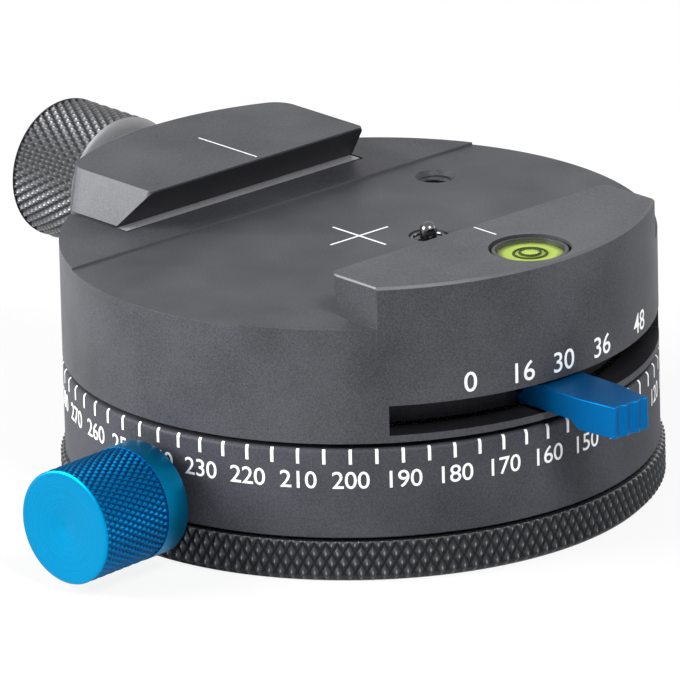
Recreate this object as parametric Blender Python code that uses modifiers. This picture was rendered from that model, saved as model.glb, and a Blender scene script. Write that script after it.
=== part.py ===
"""Panoramic tripod head: a knurled foot plate and a degree drum that stay still, and above them a rotor
with a dovetail clamp, a spirit level and a click-stop selector.

Metres, +Z up. The origin is on the turning axis, at the floor of the dovetail channel, which runs along X.
The fixed jaw is at the front (-Y), the moving jaw and its knob are at the back (+Y).
"""

import math

import bmesh
import bpy
from mathutils import Matrix, Vector

# Fits and cutting
GAP = 0.0003
THREAD_FIT = 0.0001
OVERRUN = 0.0010
MERGE = 0.00001
EDGE_CHAMFER = 0.00025

# Facets round the large, middle and small turned pieces
DRUM_STEPS = 60
RING_STEPS = 36
KNOB_STEPS = 28
PIN_STEPS = 12
COIL_STEPS = 6

# Body radii and heights
DRUM_RADIUS = 0.0300
FLANGE_LIP = 0.0005
FLANGE_HEIGHT = 0.0042
FLANGE_FOOT_BEVEL = 0.0007
SCALE_HEIGHT = 0.0093
SCALE_EDGE_ROUND = 0.0005
TURN_GAP = 0.00057
ROTOR_HEIGHT = 0.01163
LAND_RISE = 0.00023
JAW_RISE = 0.0045

FLANGE_RADIUS = DRUM_RADIUS + FLANGE_LIP
ROTOR_BOTTOM = -ROTOR_HEIGHT
SCALE_TOP = ROTOR_BOTTOM - TURN_GAP
SCALE_BOTTOM = SCALE_TOP - SCALE_HEIGHT
FLANGE_TOP = SCALE_BOTTOM - GAP
FLANGE_BOTTOM = FLANGE_TOP - FLANGE_HEIGHT

# Scale drum
DRUM_WALL = 0.0060
RIM_WALL = 0.0030
RECESS_DEPTH = 0.0022
WEB_THICKNESS = 0.0017

WEB_TOP = SCALE_TOP - RECESS_DEPTH
WEB_BOTTOM = WEB_TOP - WEB_THICKNESS
DRUM_INNER = DRUM_RADIUS - DRUM_WALL
CAVITY_RADIUS = DRUM_RADIUS - RIM_WALL

# Spindle, its bearing and the rotor's hub
SPINDLE_RADIUS = 0.0050
SPINDLE_HEAD_RADIUS = 0.0080
SPINDLE_HEAD_THICKNESS = 0.0016
SPINDLE_BITE = 0.0065
HEX_RADIUS = 0.0029
HEX_DEPTH = 0.0010
BEARING_WALL = 0.0018
WASHER_THICKNESS = 0.0008
HUB_WALL = 0.0052

ROTOR_HUB_RADIUS = SPINDLE_RADIUS + GAP + HUB_WALL
BEARING_RADIUS = SPINDLE_RADIUS + GAP + BEARING_WALL
ROTOR_HUB_BOTTOM = WEB_TOP + GAP + WASHER_THICKNESS + GAP
SPINDLE_TOP = ROTOR_HUB_BOTTOM + SPINDLE_BITE

# Brake drum on the spindle and the lock that grips it
BRAKE_WALL = 0.0030
BRAKE_WEB = 0.0014
BRAKE_FOOT_GAP = 0.0007
LOCK_ANGLE = math.radians(184.8)
LOCK_RISE = 0.00246
PAD_GAP = 0.0005
PAD_ROOM = 0.0016
PAD_THICKNESS = 0.0024
PAD_WIDTH = 0.0090
PAD_HEIGHT = 0.0032
LOCK_STUD_RADIUS = 0.0015
LOCK_KNOB_ROOM = 0.0006
LOCK_KNOB_RADIUS = 0.00584
LOCK_KNOB_LENGTH = 0.0122
LOCK_NECK_RADIUS = 0.0035
LOCK_SHOULDER = 0.0008
LOCK_SOCKET_DEPTH = 0.0068

BRAKE_WEB_TOP = WEB_BOTTOM - GAP
SPINDLE_HEAD_TOP = BRAKE_WEB_TOP - BRAKE_WEB - GAP
SPINDLE_HEAD_BOTTOM = SPINDLE_HEAD_TOP - SPINDLE_HEAD_THICKNESS
LOCK_Z = SCALE_BOTTOM + LOCK_RISE
PAD_OUTER = DRUM_INNER - PAD_ROOM
PAD_INNER = PAD_OUTER - PAD_THICKNESS
BRAKE_RADIUS = PAD_INNER - PAD_GAP
LOCK_KNOB_START = FLANGE_RADIUS + LOCK_KNOB_ROOM

# Foot plate, tripod bush and the screws that join plate and scale drum
BUSH_RADIUS = 0.0070
BUSH_SINK = 0.0002
TRIPOD_THREAD_RADIUS = 0.00476
THREAD_MOUTH = 0.0006
FOOT_HUB_WALL = 0.0017
BASE_SCREWS = 4
BASE_SCREW_HEAD = 0.0022
BASE_SCREW_HEAD_DEPTH = 0.0014
BASE_SCREW_SHANK = 0.0012
BASE_SCREW_BITE = 0.0040

FOOT_HUB_TOP = SPINDLE_HEAD_BOTTOM - GAP
FOOT_HUB_RADIUS = BUSH_RADIUS + GAP + FOOT_HUB_WALL
BASE_SCREW_CIRCLE = DRUM_RADIUS - DRUM_WALL / 2

# Click stops: holes in each row of the index plate, and the lever angle that picks the row
STOPS = ((16, -9.6), (30, 0.0), (36, 11.0), (48, 25.8))
FREE_ANGLE = -20.8
ROW_HUB_ROOM = 0.004548
ROW_EDGE_ROOM = 0.002798
INDEX_THICKNESS = 0.0017
INDEX_BORE_ROOM = 0.0007
ROW_WALL = 0.000524
DIMPLE_DEPTH = 0.0007
INDEX_SCREWS = 3
INDEX_SCREW_INSET = 0.0017
INDEX_SCREW_HEAD = 0.0010
INDEX_SCREW_HEAD_DEPTH = 0.0006
INDEX_SCREW_SHANK = 0.0005
INDEX_SCREW_BITE = 0.0012

INDEX_BOTTOM = WEB_TOP + GAP
INDEX_TOP = INDEX_BOTTOM + INDEX_THICKNESS
INDEX_BORE = ROTOR_HUB_RADIUS + INDEX_BORE_ROOM
INDEX_SCREW_CIRCLE = INDEX_BORE + INDEX_SCREW_INSET
FREE_ROW_RADIUS = ROTOR_HUB_RADIUS + ROW_HUB_ROOM
LAST_ROW_RADIUS = CAVITY_RADIUS - GAP - ROW_EDGE_ROOM
SPIRAL_RISE = (LAST_ROW_RADIUS - FREE_ROW_RADIUS) / (STOPS[-1][1] - FREE_ANGLE)
ROW_TURN = min(after[1] - before[1] for before, after in zip(STOPS, STOPS[1:]))
DIMPLE_RADIUS = (SPIRAL_RISE * ROW_TURN - ROW_WALL) / 2

# Selector slot, disc and lever
SLOT_LIP = 0.00073
SLOT_HEIGHT = 0.0031
SLOT_START = math.radians(232.8)
SLOT_END = math.radians(319.5)
CAVITY_HEADROOM = 0.0001
CLIP_THICKNESS = 0.0006
CLIP_WIDTH = 0.0024
CLIP_SEAT = 0.0006
CLIP_OPENING = math.radians(24.0)
LEVER_ANGLE = math.radians(269.5)
LEVER_HALF_WIDTH = 0.00285
LEVER_NECK_LENGTH = 0.0051
LEVER_HEAD_LENGTH = 0.0048
LEVER_HEAD_SLOPE = 0.0012
LEVER_HEAD_DROP = 0.0008
LEVER_TAPER = 0.0006
LEVER_TAIL = 0.0051
SCALLOPS = 3
SCALLOP_DEPTH = 0.00035
LEVER_SCREW_INSET = 0.0026
LEVER_SCREW_SPREAD = 0.0014
LEVER_SCREW_HEAD = 0.0008
LEVER_SCREW_HEAD_DEPTH = 0.0005
LEVER_SCREW_SHANK = 0.0004

SLOT_BOTTOM = ROTOR_BOTTOM + SLOT_LIP
SLOT_TOP = SLOT_BOTTOM + SLOT_HEIGHT
CAVITY_TOP = SLOT_TOP + CAVITY_HEADROOM
DISC_BOTTOM = SLOT_BOTTOM + GAP
DISC_TOP = SLOT_TOP - GAP
DISC_RADIUS = CAVITY_RADIUS - GAP
LEVER_STEP = DISC_RADIUS + GAP
LEVER_HEAD_START = DRUM_RADIUS + LEVER_NECK_LENGTH
LEVER_REACH = LEVER_HEAD_START + LEVER_HEAD_LENGTH
LEVER_TAIL_TOP = (DISC_BOTTOM + DISC_TOP - GAP) / 2
LEVER_SCREW_RADIUS = LEVER_STEP - LEVER_SCREW_INSET

# Detent carriage, its plunger and spring
CARRIAGE_HALF = 0.0028
CARRIAGE_HEIGHT = 0.0025
TUBE_RADIUS = 0.0014
TUBE_BORE = 0.0010
TUBE_FOOT_ROOM = 0.0006
PLUNGER_RADIUS = 0.0007
PLUNGER_TIP_RADIUS = 0.00015
PLUNGER_TIP_LENGTH = 0.0006
PLUNGER_LENGTH = 0.0026
DETENT_SPRING_LENGTH = 0.0030
DETENT_WIRE = 0.00011
DETENT_TURNS = 4

CARRIAGE_BOTTOM = DISC_TOP + GAP
CARRIAGE_TOP = CARRIAGE_BOTTOM + CARRIAGE_HEIGHT
PLUNGER_FOOT = INDEX_TOP + GAP

# Dovetail clamp: channel, fixed jaw, moving jaw and its pocket
LOWERED_HALF = 0.0124
FIXED_LIP_Y = 0.0163
LIP_HEIGHT = 0.0017
UNDERCUT = 0.0024
FIXED_JAW_HALF = 0.0189
FIXED_CORNER = 0.0013
POCKET_HALF = 0.0162
POCKET_FRONT = 0.0167
POCKET_WEB = 0.0010
JAW_REST_OPEN = 0.0006
MOVING_LIP_Y = 0.0148
MOVING_LIP_FLAT = 0.0002
MOVING_UNDERCUT = 0.0037
MOVING_TOP_HALF = 0.0144
MOVING_LIP_CORNER = 0.0005
MOVING_BACK_CORNER = 0.0015
MOVING_FOOT_INSET = 0.0001
GUIDE_X = 0.0110
GUIDE_RADIUS = 0.0010
GUIDE_BITE = 0.0070
GUIDE_REACH = 0.0100
JAW_SPRING_RADIUS = 0.00175
JAW_SPRING_WIRE = 0.0003
JAW_SPRING_LENGTH = 0.0037
JAW_SPRING_TURNS = 4

POCKET_FLOOR = CAVITY_TOP + POCKET_WEB
JAW_BASE_FRONT = POCKET_FRONT + GAP
JAW_BASE_BOTTOM = POCKET_FLOOR + GAP
JAW_BASE_HALF = POCKET_HALF - GAP

# Clamp knob
CLAMP_DROP = 0.00317
CLAMP_SCREW_RADIUS = 0.0025
CLAMP_BITE = 0.0102
CLAMP_WASHER_RADIUS = 0.0050
CLAMP_WASHER_THICKNESS = 0.0005
SPOT_DEPTH = 0.0007
CLAMP_COLLAR_RADIUS = 0.0058
CLAMP_COLLAR_LENGTH = 0.0042
CLAMP_KNOB_RADIUS = 0.00725
CLAMP_KNOB_LENGTH = 0.0097
CLAMP_SOCKET_DEPTH = 0.0089
KNOB_CHAMFER = 0.0002
KNOB_DISH = 0.0004

CLAMP_Z = -CLAMP_DROP
WASHER_SEAT_Y = DRUM_RADIUS + JAW_REST_OPEN - SPOT_DEPTH
CLAMP_WASHER_Y = WASHER_SEAT_Y + GAP
CLAMP_KNOB_Y = CLAMP_WASHER_Y + CLAMP_WASHER_THICKNESS + GAP

# Spirit level in the fixed jaw
LEVEL_RADIUS = 0.00415
LEVEL_RIM = 0.00065
LEVEL_DEPTH = 0.0035
LEVEL_CUP_WALL = 0.00055
LEVEL_CUP_FLOOR = 0.0006
LEVEL_CUP_SINK = 0.0002
LEVEL_LIQUID_HEIGHT = 0.0014
LEVEL_GLASS_HEIGHT = 0.0007

LEVEL_Y = -(DRUM_RADIUS - LEVEL_RIM - LEVEL_RADIUS)
LEVEL_FLOOR = JAW_RISE - LEVEL_DEPTH

# Threaded hole and sprung safety pin in the channel floor
TAP_X = 0.0178
TAP_Y = 0.00765
TAP_RADIUS = 0.00165
TAP_MOUTH = 0.0005
TAP_DEPTH = 0.0060
PIN_X = 0.0046
PIN_Y = -0.0054
PIN_RADIUS = 0.00085
PIN_RISE = 0.0014
PIN_TRAVEL = 0.0013
PIN_WELL_RADIUS = 0.0020
PIN_WELL_DEPTH = 0.0055
PIN_BUSH_SINK = 0.0004
PIN_BUSH_HEIGHT = 0.0006
PIN_SHOULDER_RADIUS = 0.0015
PIN_SHOULDER_HEIGHT = 0.0007
PIN_SPRING_RADIUS = 0.00125
PIN_SPRING_WIRE = 0.00018
PIN_SPRING_TURNS = 4

PIN_BUSH_TOP = -PIN_BUSH_SINK
PIN_BUSH_BOTTOM = PIN_BUSH_TOP - PIN_BUSH_HEIGHT
PIN_SHOULDER_TOP = PIN_BUSH_BOTTOM - GAP
PIN_SHOULDER_BOTTOM = PIN_SHOULDER_TOP - PIN_SHOULDER_HEIGHT
PIN_WELL_BOTTOM = -PIN_WELL_DEPTH

ACROSS_X = Matrix.Rotation(math.radians(90), 4, "Y") @ Matrix.Rotation(math.radians(90), 4, "Z")


def empty_scene():
    """Clears the scene and makes one collection for the head and one for the cutters."""
    for obj in list(bpy.data.objects):
        bpy.data.objects.remove(obj)
    made = []
    for name in ("panoramic_head", "cutters"):
        collection = bpy.data.collections.new(name)
        bpy.context.scene.collection.children.link(collection)
        made.append(collection)
    return made


def finish(name, color, roughness, metallic):
    """A Principled material with one colour, roughness and metallic value."""
    material = bpy.data.materials.new(name)
    material.use_nodes = True
    shader = material.node_tree.nodes["Principled BSDF"]
    shader.inputs["Base Color"].default_value = (*color, 1.0)
    shader.inputs["Roughness"].default_value = roughness
    shader.inputs["Metallic"].default_value = metallic
    return material


def keep(name, mesh, material):
    """A piece of the head, or a hidden cutter where no material is given."""
    obj = bpy.data.objects.new(name, mesh)
    if material is None:
        CUTTERS.objects.link(obj)
        obj.hide_render = True
        obj.display_type = "WIRE"
        return obj
    HEAD.objects.link(obj)
    if not mesh.materials:
        mesh.materials.append(material)
    return obj


def turned(name, profile, steps, material=None):
    """A turned piece about Z from (radius, height) points that run down its outer side.

    A profile whose first point is off the axis is closed back to its start, so the piece has a bore.
    """
    edges = [(i, i + 1) for i in range(len(profile) - 1)]
    if profile[0][0] > 0:
        edges.append((len(profile) - 1, 0))
    mesh = bpy.data.meshes.new(name)
    mesh.from_pydata([(radius, 0, height) for radius, height in profile], edges, [])
    obj = keep(name, mesh, material)
    screw = obj.modifiers.new("Turn", "SCREW")
    screw.steps = screw.render_steps = steps
    screw.use_merge_vertices = True
    screw.merge_threshold = MERGE
    return obj


def flat_piece(name, outline, low, high, material=None):
    """A flat outline in X and Y, filled and thickened from height low to height high."""
    curve = bpy.data.curves.new(name, "CURVE")
    curve.dimensions = "2D"
    curve.fill_mode = "BOTH"
    curve.extrude = (high - low) / 2
    spline = curve.splines.new("POLY")
    spline.points.add(len(outline) - 1)
    for point, (x, y) in zip(spline.points, outline):
        point.co = (x, y, 0, 1)
    spline.use_cyclic_u = True
    guide = bpy.data.objects.new(name, curve)
    CUTTERS.objects.link(guide)
    bpy.context.view_layer.update()
    graph = bpy.context.evaluated_depsgraph_get()
    mesh = bpy.data.meshes.new_from_object(guide.evaluated_get(graph))
    bpy.data.objects.remove(guide)
    mesh.transform(Matrix.Translation((0, 0, (high + low) / 2)))
    weld(mesh)
    return keep(name, mesh, material)


def weld(mesh):
    """Joins loose caps to their walls and turns all faces outwards."""
    shape = bmesh.new()
    shape.from_mesh(mesh)
    bmesh.ops.remove_doubles(shape, verts=shape.verts, dist=MERGE)
    bmesh.ops.recalc_face_normals(shape, faces=shape.faces)
    shape.to_mesh(mesh)
    shape.free()


def block(name, low, high, material=None):
    """A box between two corners."""
    shape = bmesh.new()
    bmesh.ops.create_cube(shape, size=1.0)
    size = [b - a for a, b in zip(low, high)]
    middle = [(a + b) / 2 for a, b in zip(low, high)]
    bmesh.ops.scale(shape, vec=size, verts=shape.verts)
    bmesh.ops.translate(shape, vec=middle, verts=shape.verts)
    mesh = bpy.data.meshes.new(name)
    shape.to_mesh(mesh)
    shape.free()
    return keep(name, mesh, material)


def coil(name, radius, wire, turns, low, high, material):
    """A compression spring about Z whose wire's outside runs from height low to height high."""
    count = turns * COIL_STEPS
    curve = bpy.data.curves.new(name, "CURVE")
    curve.dimensions = "3D"
    curve.bevel_depth = wire
    curve.bevel_resolution = 0
    curve.use_fill_caps = True
    spline = curve.splines.new("POLY")
    spline.points.add(count)
    start, rise = low + wire, high - low - 2 * wire
    for i, point in enumerate(spline.points):
        turn = 2 * math.pi * i / COIL_STEPS
        point.co = (radius * math.cos(turn), radius * math.sin(turn), start + rise * i / count, 1)
    obj = bpy.data.objects.new(name, curve)
    HEAD.objects.link(obj)
    curve.materials.append(material)
    return obj


def cut(piece, *cutters):
    """Takes each cutter's volume out of the piece."""
    for cutter in cutters:
        boolean = piece.modifiers.new("Cut " + cutter.name, "BOOLEAN")
        boolean.object = cutter


def trim(piece, *bounds):
    """Keeps only what lies inside each bounding shape."""
    for bound in bounds:
        boolean = piece.modifiers.new("Keep inside " + bound.name, "BOOLEAN")
        boolean.operation = "INTERSECT"
        boolean.object = bound


def aim(obj, point, direction):
    """Puts the piece's own Z axis along a direction, with its origin at a point."""
    turn = Vector(direction).to_track_quat("Z", "Y").to_matrix().to_4x4()
    obj.matrix_world = Matrix.Translation(point) @ turn


def ring_points(radius, start, end, count):
    """Points on an arc about Z."""
    angles = [start + (end - start) * i / (count - 1) for i in range(count)]
    return [(radius * math.cos(angle), radius * math.sin(angle)) for angle in angles]


def rod_profile(radius, low, high, chamfer=0):
    """A plain pin, with a chamfer at each end where one is given."""
    if not chamfer:
        return [(0, high), (radius, high), (radius, low), (0, low)]
    return [(0, high), (radius - chamfer, high), (radius, high - chamfer),
            (radius, low + chamfer), (radius - chamfer, low), (0, low)]


def tube_profile(outer, inner, low, high, chamfer=0):
    """A plain bush, with chamfers on its outer edges where a size is given."""
    if not chamfer:
        return [(outer, high), (outer, low), (inner, low), (inner, high)]
    return [(outer - chamfer, high), (outer, high - chamfer), (outer, low + chamfer),
            (outer - chamfer, low), (inner, low), (inner, high)]


def shade(collection):
    """Smooth shading that keeps edges sharper than 35 degrees."""
    for obj in collection.objects:
        if obj.type == "MESH" and obj.data.polygons:
            obj.data.shade_smooth()
            obj.data.set_sharp_from_angle(angle=math.radians(35))
        for modifier in obj.modifiers:
            if modifier.type == "SCREW":
                modifier.use_smooth_shade = True


def spiral_radius(lever_degrees):
    """How far out the detent stands when the lever is this many degrees from rest."""
    return FREE_ROW_RADIUS + SPIRAL_RISE * (lever_degrees - FREE_ANGLE)


def screw_profile(head, head_depth, shank, length):
    """A countersunk screw, its head's flat face at height 0 and its shank going up."""
    return [(0, length), (shank, length), (shank, head_depth), (head, 0), (0, 0)]


def sink_profile(head, head_depth, shank, length):
    """The clearance hole for a countersunk screw, open past its head."""
    wide, narrow = head + GAP, shank + GAP
    return [(0, length + GAP), (narrow, length + GAP), (narrow, head_depth + GAP), (wide, 0),
            (wide, -OVERRUN), (0, -OVERRUN)]


def make_screws(name, count, places, profile, hole, down, holders, material):
    """Equal countersunk screws at (x, y, z) places, and their holes cut in the pieces that hold them."""
    flip = Matrix.Rotation(math.pi, 4, "X") if down else Matrix.Identity(4)
    for number in range(count):
        screw = turned(f"{name}_{number + 1}", profile, PIN_STEPS, material)
        drill = turned(f"{name}_{number + 1}_hole", hole, PIN_STEPS)
        for obj in (screw, drill):
            obj.matrix_world = Matrix.Translation(places[number]) @ flip
        for holder in holders:
            cut(holder, drill)


def round_places(count, radius, start, height):
    """Equal places on a circle."""
    turns = [start + 2 * math.pi * i / count for i in range(count)]
    return [(radius * math.cos(turn), radius * math.sin(turn), height) for turn in turns]


def make_foot_plate():
    rim, foot = FLANGE_RADIUS, FLANGE_RADIUS - FLANGE_FOOT_BEVEL
    bore = BUSH_RADIUS + GAP
    profile = [
        (rim - EDGE_CHAMFER, FLANGE_TOP), (rim, FLANGE_TOP - EDGE_CHAMFER),
        (rim, FLANGE_BOTTOM + FLANGE_FOOT_BEVEL), (foot, FLANGE_BOTTOM),
        (bore, FLANGE_BOTTOM), (bore, FOOT_HUB_TOP), (FOOT_HUB_RADIUS, FOOT_HUB_TOP),
        (FOOT_HUB_RADIUS, FLANGE_TOP),
    ]
    return turned("base_plate", profile, DRUM_STEPS, ANODISED_BLACK)


def make_tripod_bush():
    low, high = FLANGE_BOTTOM + BUSH_SINK, FOOT_HUB_TOP - BUSH_SINK
    bore, mouth = TRIPOD_THREAD_RADIUS, TRIPOD_THREAD_RADIUS + THREAD_MOUTH
    profile = [(BUSH_RADIUS, high), (BUSH_RADIUS, low), (mouth, low), (bore, low + THREAD_MOUTH),
               (bore, high - THREAD_MOUTH), (mouth, high)]
    return turned("tripod_bush", profile, KNOB_STEPS, STEEL)


def make_scale_drum():
    top_edge = [(DRUM_RADIUS - SCALE_EDGE_ROUND * (1 - math.sin(turn)),
                 SCALE_TOP - SCALE_EDGE_ROUND * (1 - math.cos(turn)))
                for turn in (math.radians(30 * i) for i in range(4))]
    profile = top_edge + [
        (DRUM_RADIUS, SCALE_BOTTOM), (DRUM_INNER, SCALE_BOTTOM), (DRUM_INNER, WEB_BOTTOM),
        (BEARING_RADIUS + GAP, WEB_BOTTOM), (BEARING_RADIUS + GAP, WEB_TOP),
        (CAVITY_RADIUS, WEB_TOP), (CAVITY_RADIUS, SCALE_TOP),
    ]
    drum = turned("scale_drum", profile, DRUM_STEPS, ANODISED_GREY)
    stud_hole = turned("lock_stud_hole", rod_profile(
        LOCK_STUD_RADIUS + GAP, DRUM_INNER - OVERRUN, DRUM_RADIUS + OVERRUN), PIN_STEPS)
    aim(stud_hole, (0, 0, LOCK_Z), lock_direction())
    cut(drum, stud_hole)
    return drum


def lock_direction():
    return math.cos(LOCK_ANGLE), math.sin(LOCK_ANGLE), 0


def make_bearing():
    turned("bearing_bush", tube_profile(BEARING_RADIUS, SPINDLE_RADIUS + GAP, WEB_BOTTOM, WEB_TOP,
                                        EDGE_CHAMFER), KNOB_STEPS, BRONZE)
    low = WEB_TOP + GAP
    turned("thrust_washer", tube_profile(ROTOR_HUB_RADIUS - GAP, SPINDLE_RADIUS + GAP, low,
                                         low + WASHER_THICKNESS), KNOB_STEPS, BRONZE)


def make_index_plate():
    """A ring with a round groove for free turning and one circle of conical dimples for each stop row."""
    outer = CAVITY_RADIUS - GAP
    groove = spiral_radius(FREE_ANGLE)
    half = DIMPLE_RADIUS
    floor = INDEX_TOP - DIMPLE_DEPTH
    profile = [
        (outer, INDEX_TOP), (outer, INDEX_BOTTOM), (INDEX_BORE, INDEX_BOTTOM), (INDEX_BORE, INDEX_TOP),
        (groove - half, INDEX_TOP), (groove - half / 2, floor), (groove + half / 2, floor),
        (groove + half, INDEX_TOP),
    ]
    plate = turned("index_plate", profile, RING_STEPS, STEEL)
    shape = bmesh.new()
    over = 1 + THREAD_FIT / DIMPLE_DEPTH
    depth = DIMPLE_DEPTH * over
    for count, lever_degrees in STOPS:
        for x, y, _ in round_places(count, spiral_radius(lever_degrees), 0, 0):
            place = Matrix.Translation((x, y, floor + depth / 2))
            bmesh.ops.create_cone(shape, cap_ends=True, segments=6, radius1=0,
                                  radius2=DIMPLE_RADIUS * over, depth=depth, matrix=place)
    mesh = bpy.data.meshes.new("stop_dimples")
    shape.to_mesh(mesh)
    shape.free()
    weld(mesh)
    cut(plate, keep("stop_dimples", mesh, None))
    return plate


def make_lock():
    """The pad that grips the brake drum, the stud that pushes it and the knob on the stud."""
    half, side = PAD_HEIGHT / 2, PAD_WIDTH / 2
    pad = block("brake_pad", (PAD_INNER - PAD_THICKNESS, -side, -half), (PAD_OUTER, side, half), RUBBER)
    bore = turned("brake_pad_bore", rod_profile(PAD_INNER, -PAD_HEIGHT, PAD_HEIGHT), RING_STEPS)
    turn = Matrix.Translation((0, 0, LOCK_Z)) @ Matrix.Rotation(LOCK_ANGLE, 4, "Z")
    pad.matrix_world = turn
    bore.matrix_world = turn
    cut(pad, bore)

    start, end = LOCK_KNOB_START, LOCK_KNOB_START + LOCK_KNOB_LENGTH
    radius, neck = LOCK_KNOB_RADIUS, LOCK_NECK_RADIUS
    shoulder = [(neck + (radius - neck) * math.cos(turn), start + LOCK_SHOULDER * (1 - math.sin(turn)))
                for turn in (math.radians(22.5 * i) for i in range(5))]
    profile = [(0, end - KNOB_DISH), (radius / 3, end), (radius - KNOB_CHAMFER, end),
               (radius, end - KNOB_CHAMFER)] + shoulder + [(0, start)]
    knob = turned("lock_knob", profile, KNOB_STEPS, BLUE)
    socket_end = start + LOCK_SOCKET_DEPTH
    socket = turned("lock_knob_socket", rod_profile(
        LOCK_STUD_RADIUS + THREAD_FIT, start - OVERRUN, socket_end), PIN_STEPS)
    stud = turned("lock_stud", rod_profile(
        LOCK_STUD_RADIUS, PAD_OUTER + GAP, socket_end - GAP, EDGE_CHAMFER), PIN_STEPS, STEEL)
    for obj in (knob, socket, stud):
        aim(obj, (0, 0, LOCK_Z), lock_direction())
    cut(knob, socket)


def make_spindle():
    """A shoulder bolt from below that carries the brake drum and is screwed into the rotor's hub."""
    chamfer = EDGE_CHAMFER
    profile = [
        (0, SPINDLE_TOP), (SPINDLE_RADIUS - chamfer, SPINDLE_TOP), (SPINDLE_RADIUS, SPINDLE_TOP - chamfer),
        (SPINDLE_RADIUS, SPINDLE_HEAD_TOP), (SPINDLE_HEAD_RADIUS, SPINDLE_HEAD_TOP),
        (SPINDLE_HEAD_RADIUS, SPINDLE_HEAD_BOTTOM), (0, SPINDLE_HEAD_BOTTOM),
    ]
    spindle = turned("spindle", profile, KNOB_STEPS, STEEL)
    low = SPINDLE_HEAD_BOTTOM
    cut(spindle, turned("hex_socket", rod_profile(HEX_RADIUS, low - OVERRUN, low + HEX_DEPTH), 6))
    top, foot = BRAKE_WEB_TOP, FLANGE_TOP + BRAKE_FOOT_GAP
    inner = BRAKE_RADIUS - BRAKE_WALL
    profile = [
        (BRAKE_RADIUS - chamfer, top), (BRAKE_RADIUS, top - chamfer), (BRAKE_RADIUS, foot), (inner, foot),
        (inner, top - BRAKE_WEB), (SPINDLE_RADIUS + GAP, top - BRAKE_WEB), (SPINDLE_RADIUS + GAP, top),
    ]
    turned("brake_drum", profile, RING_STEPS, STEEL)


def make_rotor():
    """The upper drum: turned outside and inside, then the channel, jaw, slot, pocket and bores are cut."""
    hub, bore = ROTOR_HUB_RADIUS, SPINDLE_RADIUS + GAP
    clip_low, seat = disc_clip_low() - GAP, hub - CLIP_SEAT
    profile = [
        (0, JAW_RISE), (DRUM_RADIUS - EDGE_CHAMFER, JAW_RISE), (DRUM_RADIUS, JAW_RISE - EDGE_CHAMFER),
        (DRUM_RADIUS, ROTOR_BOTTOM), (CAVITY_RADIUS, ROTOR_BOTTOM), (CAVITY_RADIUS, CAVITY_TOP),
        (hub, CAVITY_TOP), (hub, DISC_BOTTOM), (seat, DISC_BOTTOM), (seat, clip_low), (hub, clip_low),
        (hub, ROTOR_HUB_BOTTOM), (bore, ROTOR_HUB_BOTTOM), (bore, SPINDLE_TOP + GAP), (0, SPINDLE_TOP + GAP),
    ]
    rotor = turned("rotor_body", profile, DRUM_STEPS, ANODISED_GREY)
    cut(rotor, *channel_cutters(), slot_cutter(), pocket_cutter(), groove_cutter())
    cut(rotor, clamp_bore(), *guide_bores(), tap_hole(), pin_well(), level_recess())
    return rotor


def channel_cutters():
    """What is above the channel and the lands, and beyond each end of the fixed jaw."""
    top, far = JAW_RISE + OVERRUN, DRUM_RADIUS + OVERRUN
    lip, corner = -FIXED_LIP_Y, -FIXED_LIP_Y - UNDERCUT
    outline = [(lip, top), (lip, JAW_RISE - LIP_HEIGHT), (corner, LAND_RISE), (-LOWERED_HALF, LAND_RISE),
               (-LOWERED_HALF, 0), (LOWERED_HALF, 0), (LOWERED_HALF, LAND_RISE), (far, LAND_RISE),
               (far, top)]
    channel = flat_piece("channel", outline, -far, far)
    channel.matrix_world = ACROSS_X
    near, inset = FIXED_JAW_HALF, FIXED_JAW_HALF - FIXED_CORNER
    corner = [(inset + x, lip - FIXED_CORNER + y)
              for x, y in ring_points(FIXED_CORNER, 0, math.pi / 2, 4)]
    end = [(near, -far)] + corner + [(inset, far), (far, far), (far, -far)]
    ends = [flat_piece("jaw_end_right", end, LAND_RISE, top),
            flat_piece("jaw_end_left", [(-x, y) for x, y in reversed(end)], LAND_RISE, top)]
    return [channel, *ends]


def slot_cutter():
    """The window in the wall that the selector lever sweeps along."""
    outer = ring_points(DRUM_RADIUS + OVERRUN, SLOT_START, SLOT_END, 20)
    inner = ring_points(CAVITY_RADIUS - OVERRUN, SLOT_END, SLOT_START, 20)
    return flat_piece("selector_slot", outer + inner, SLOT_BOTTOM, SLOT_TOP)


def pocket_cutter():
    high = (POCKET_HALF, DRUM_RADIUS + OVERRUN, JAW_RISE + OVERRUN)
    return block("jaw_pocket", (-POCKET_HALF, POCKET_FRONT, POCKET_FLOOR), high)


def groove_cutter():
    """The straight groove above the disc in which the detent carriage slides."""
    half = CARRIAGE_HALF + GAP
    near = spiral_radius(FREE_ANGLE) - half
    far = spiral_radius(STOPS[-1][1]) + half
    return block("carriage_groove", (near, -half, CAVITY_TOP - GAP), (far, half, CARRIAGE_TOP + GAP))


def clamp_bore():
    """The threaded hole for the clamp screw."""
    start, end = POCKET_FRONT - CLAMP_BITE - GAP, POCKET_FRONT + OVERRUN
    bore = turned("clamp_bore", rod_profile(CLAMP_SCREW_RADIUS + THREAD_FIT, start, end), PIN_STEPS)
    aim(bore, (0, 0, CLAMP_Z), (0, 1, 0))
    return bore


def guide_bores():
    start, end = POCKET_FRONT - GUIDE_BITE - GAP, POCKET_FRONT + OVERRUN
    bores = []
    for side, x in (("left", -GUIDE_X), ("right", GUIDE_X)):
        profile = rod_profile(GUIDE_RADIUS + THREAD_FIT, start, end)
        bore = turned(f"guide_bore_{side}", profile, PIN_STEPS)
        aim(bore, (x, 0, CLAMP_Z), (0, 1, 0))
        bores.append(bore)
    return bores


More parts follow.
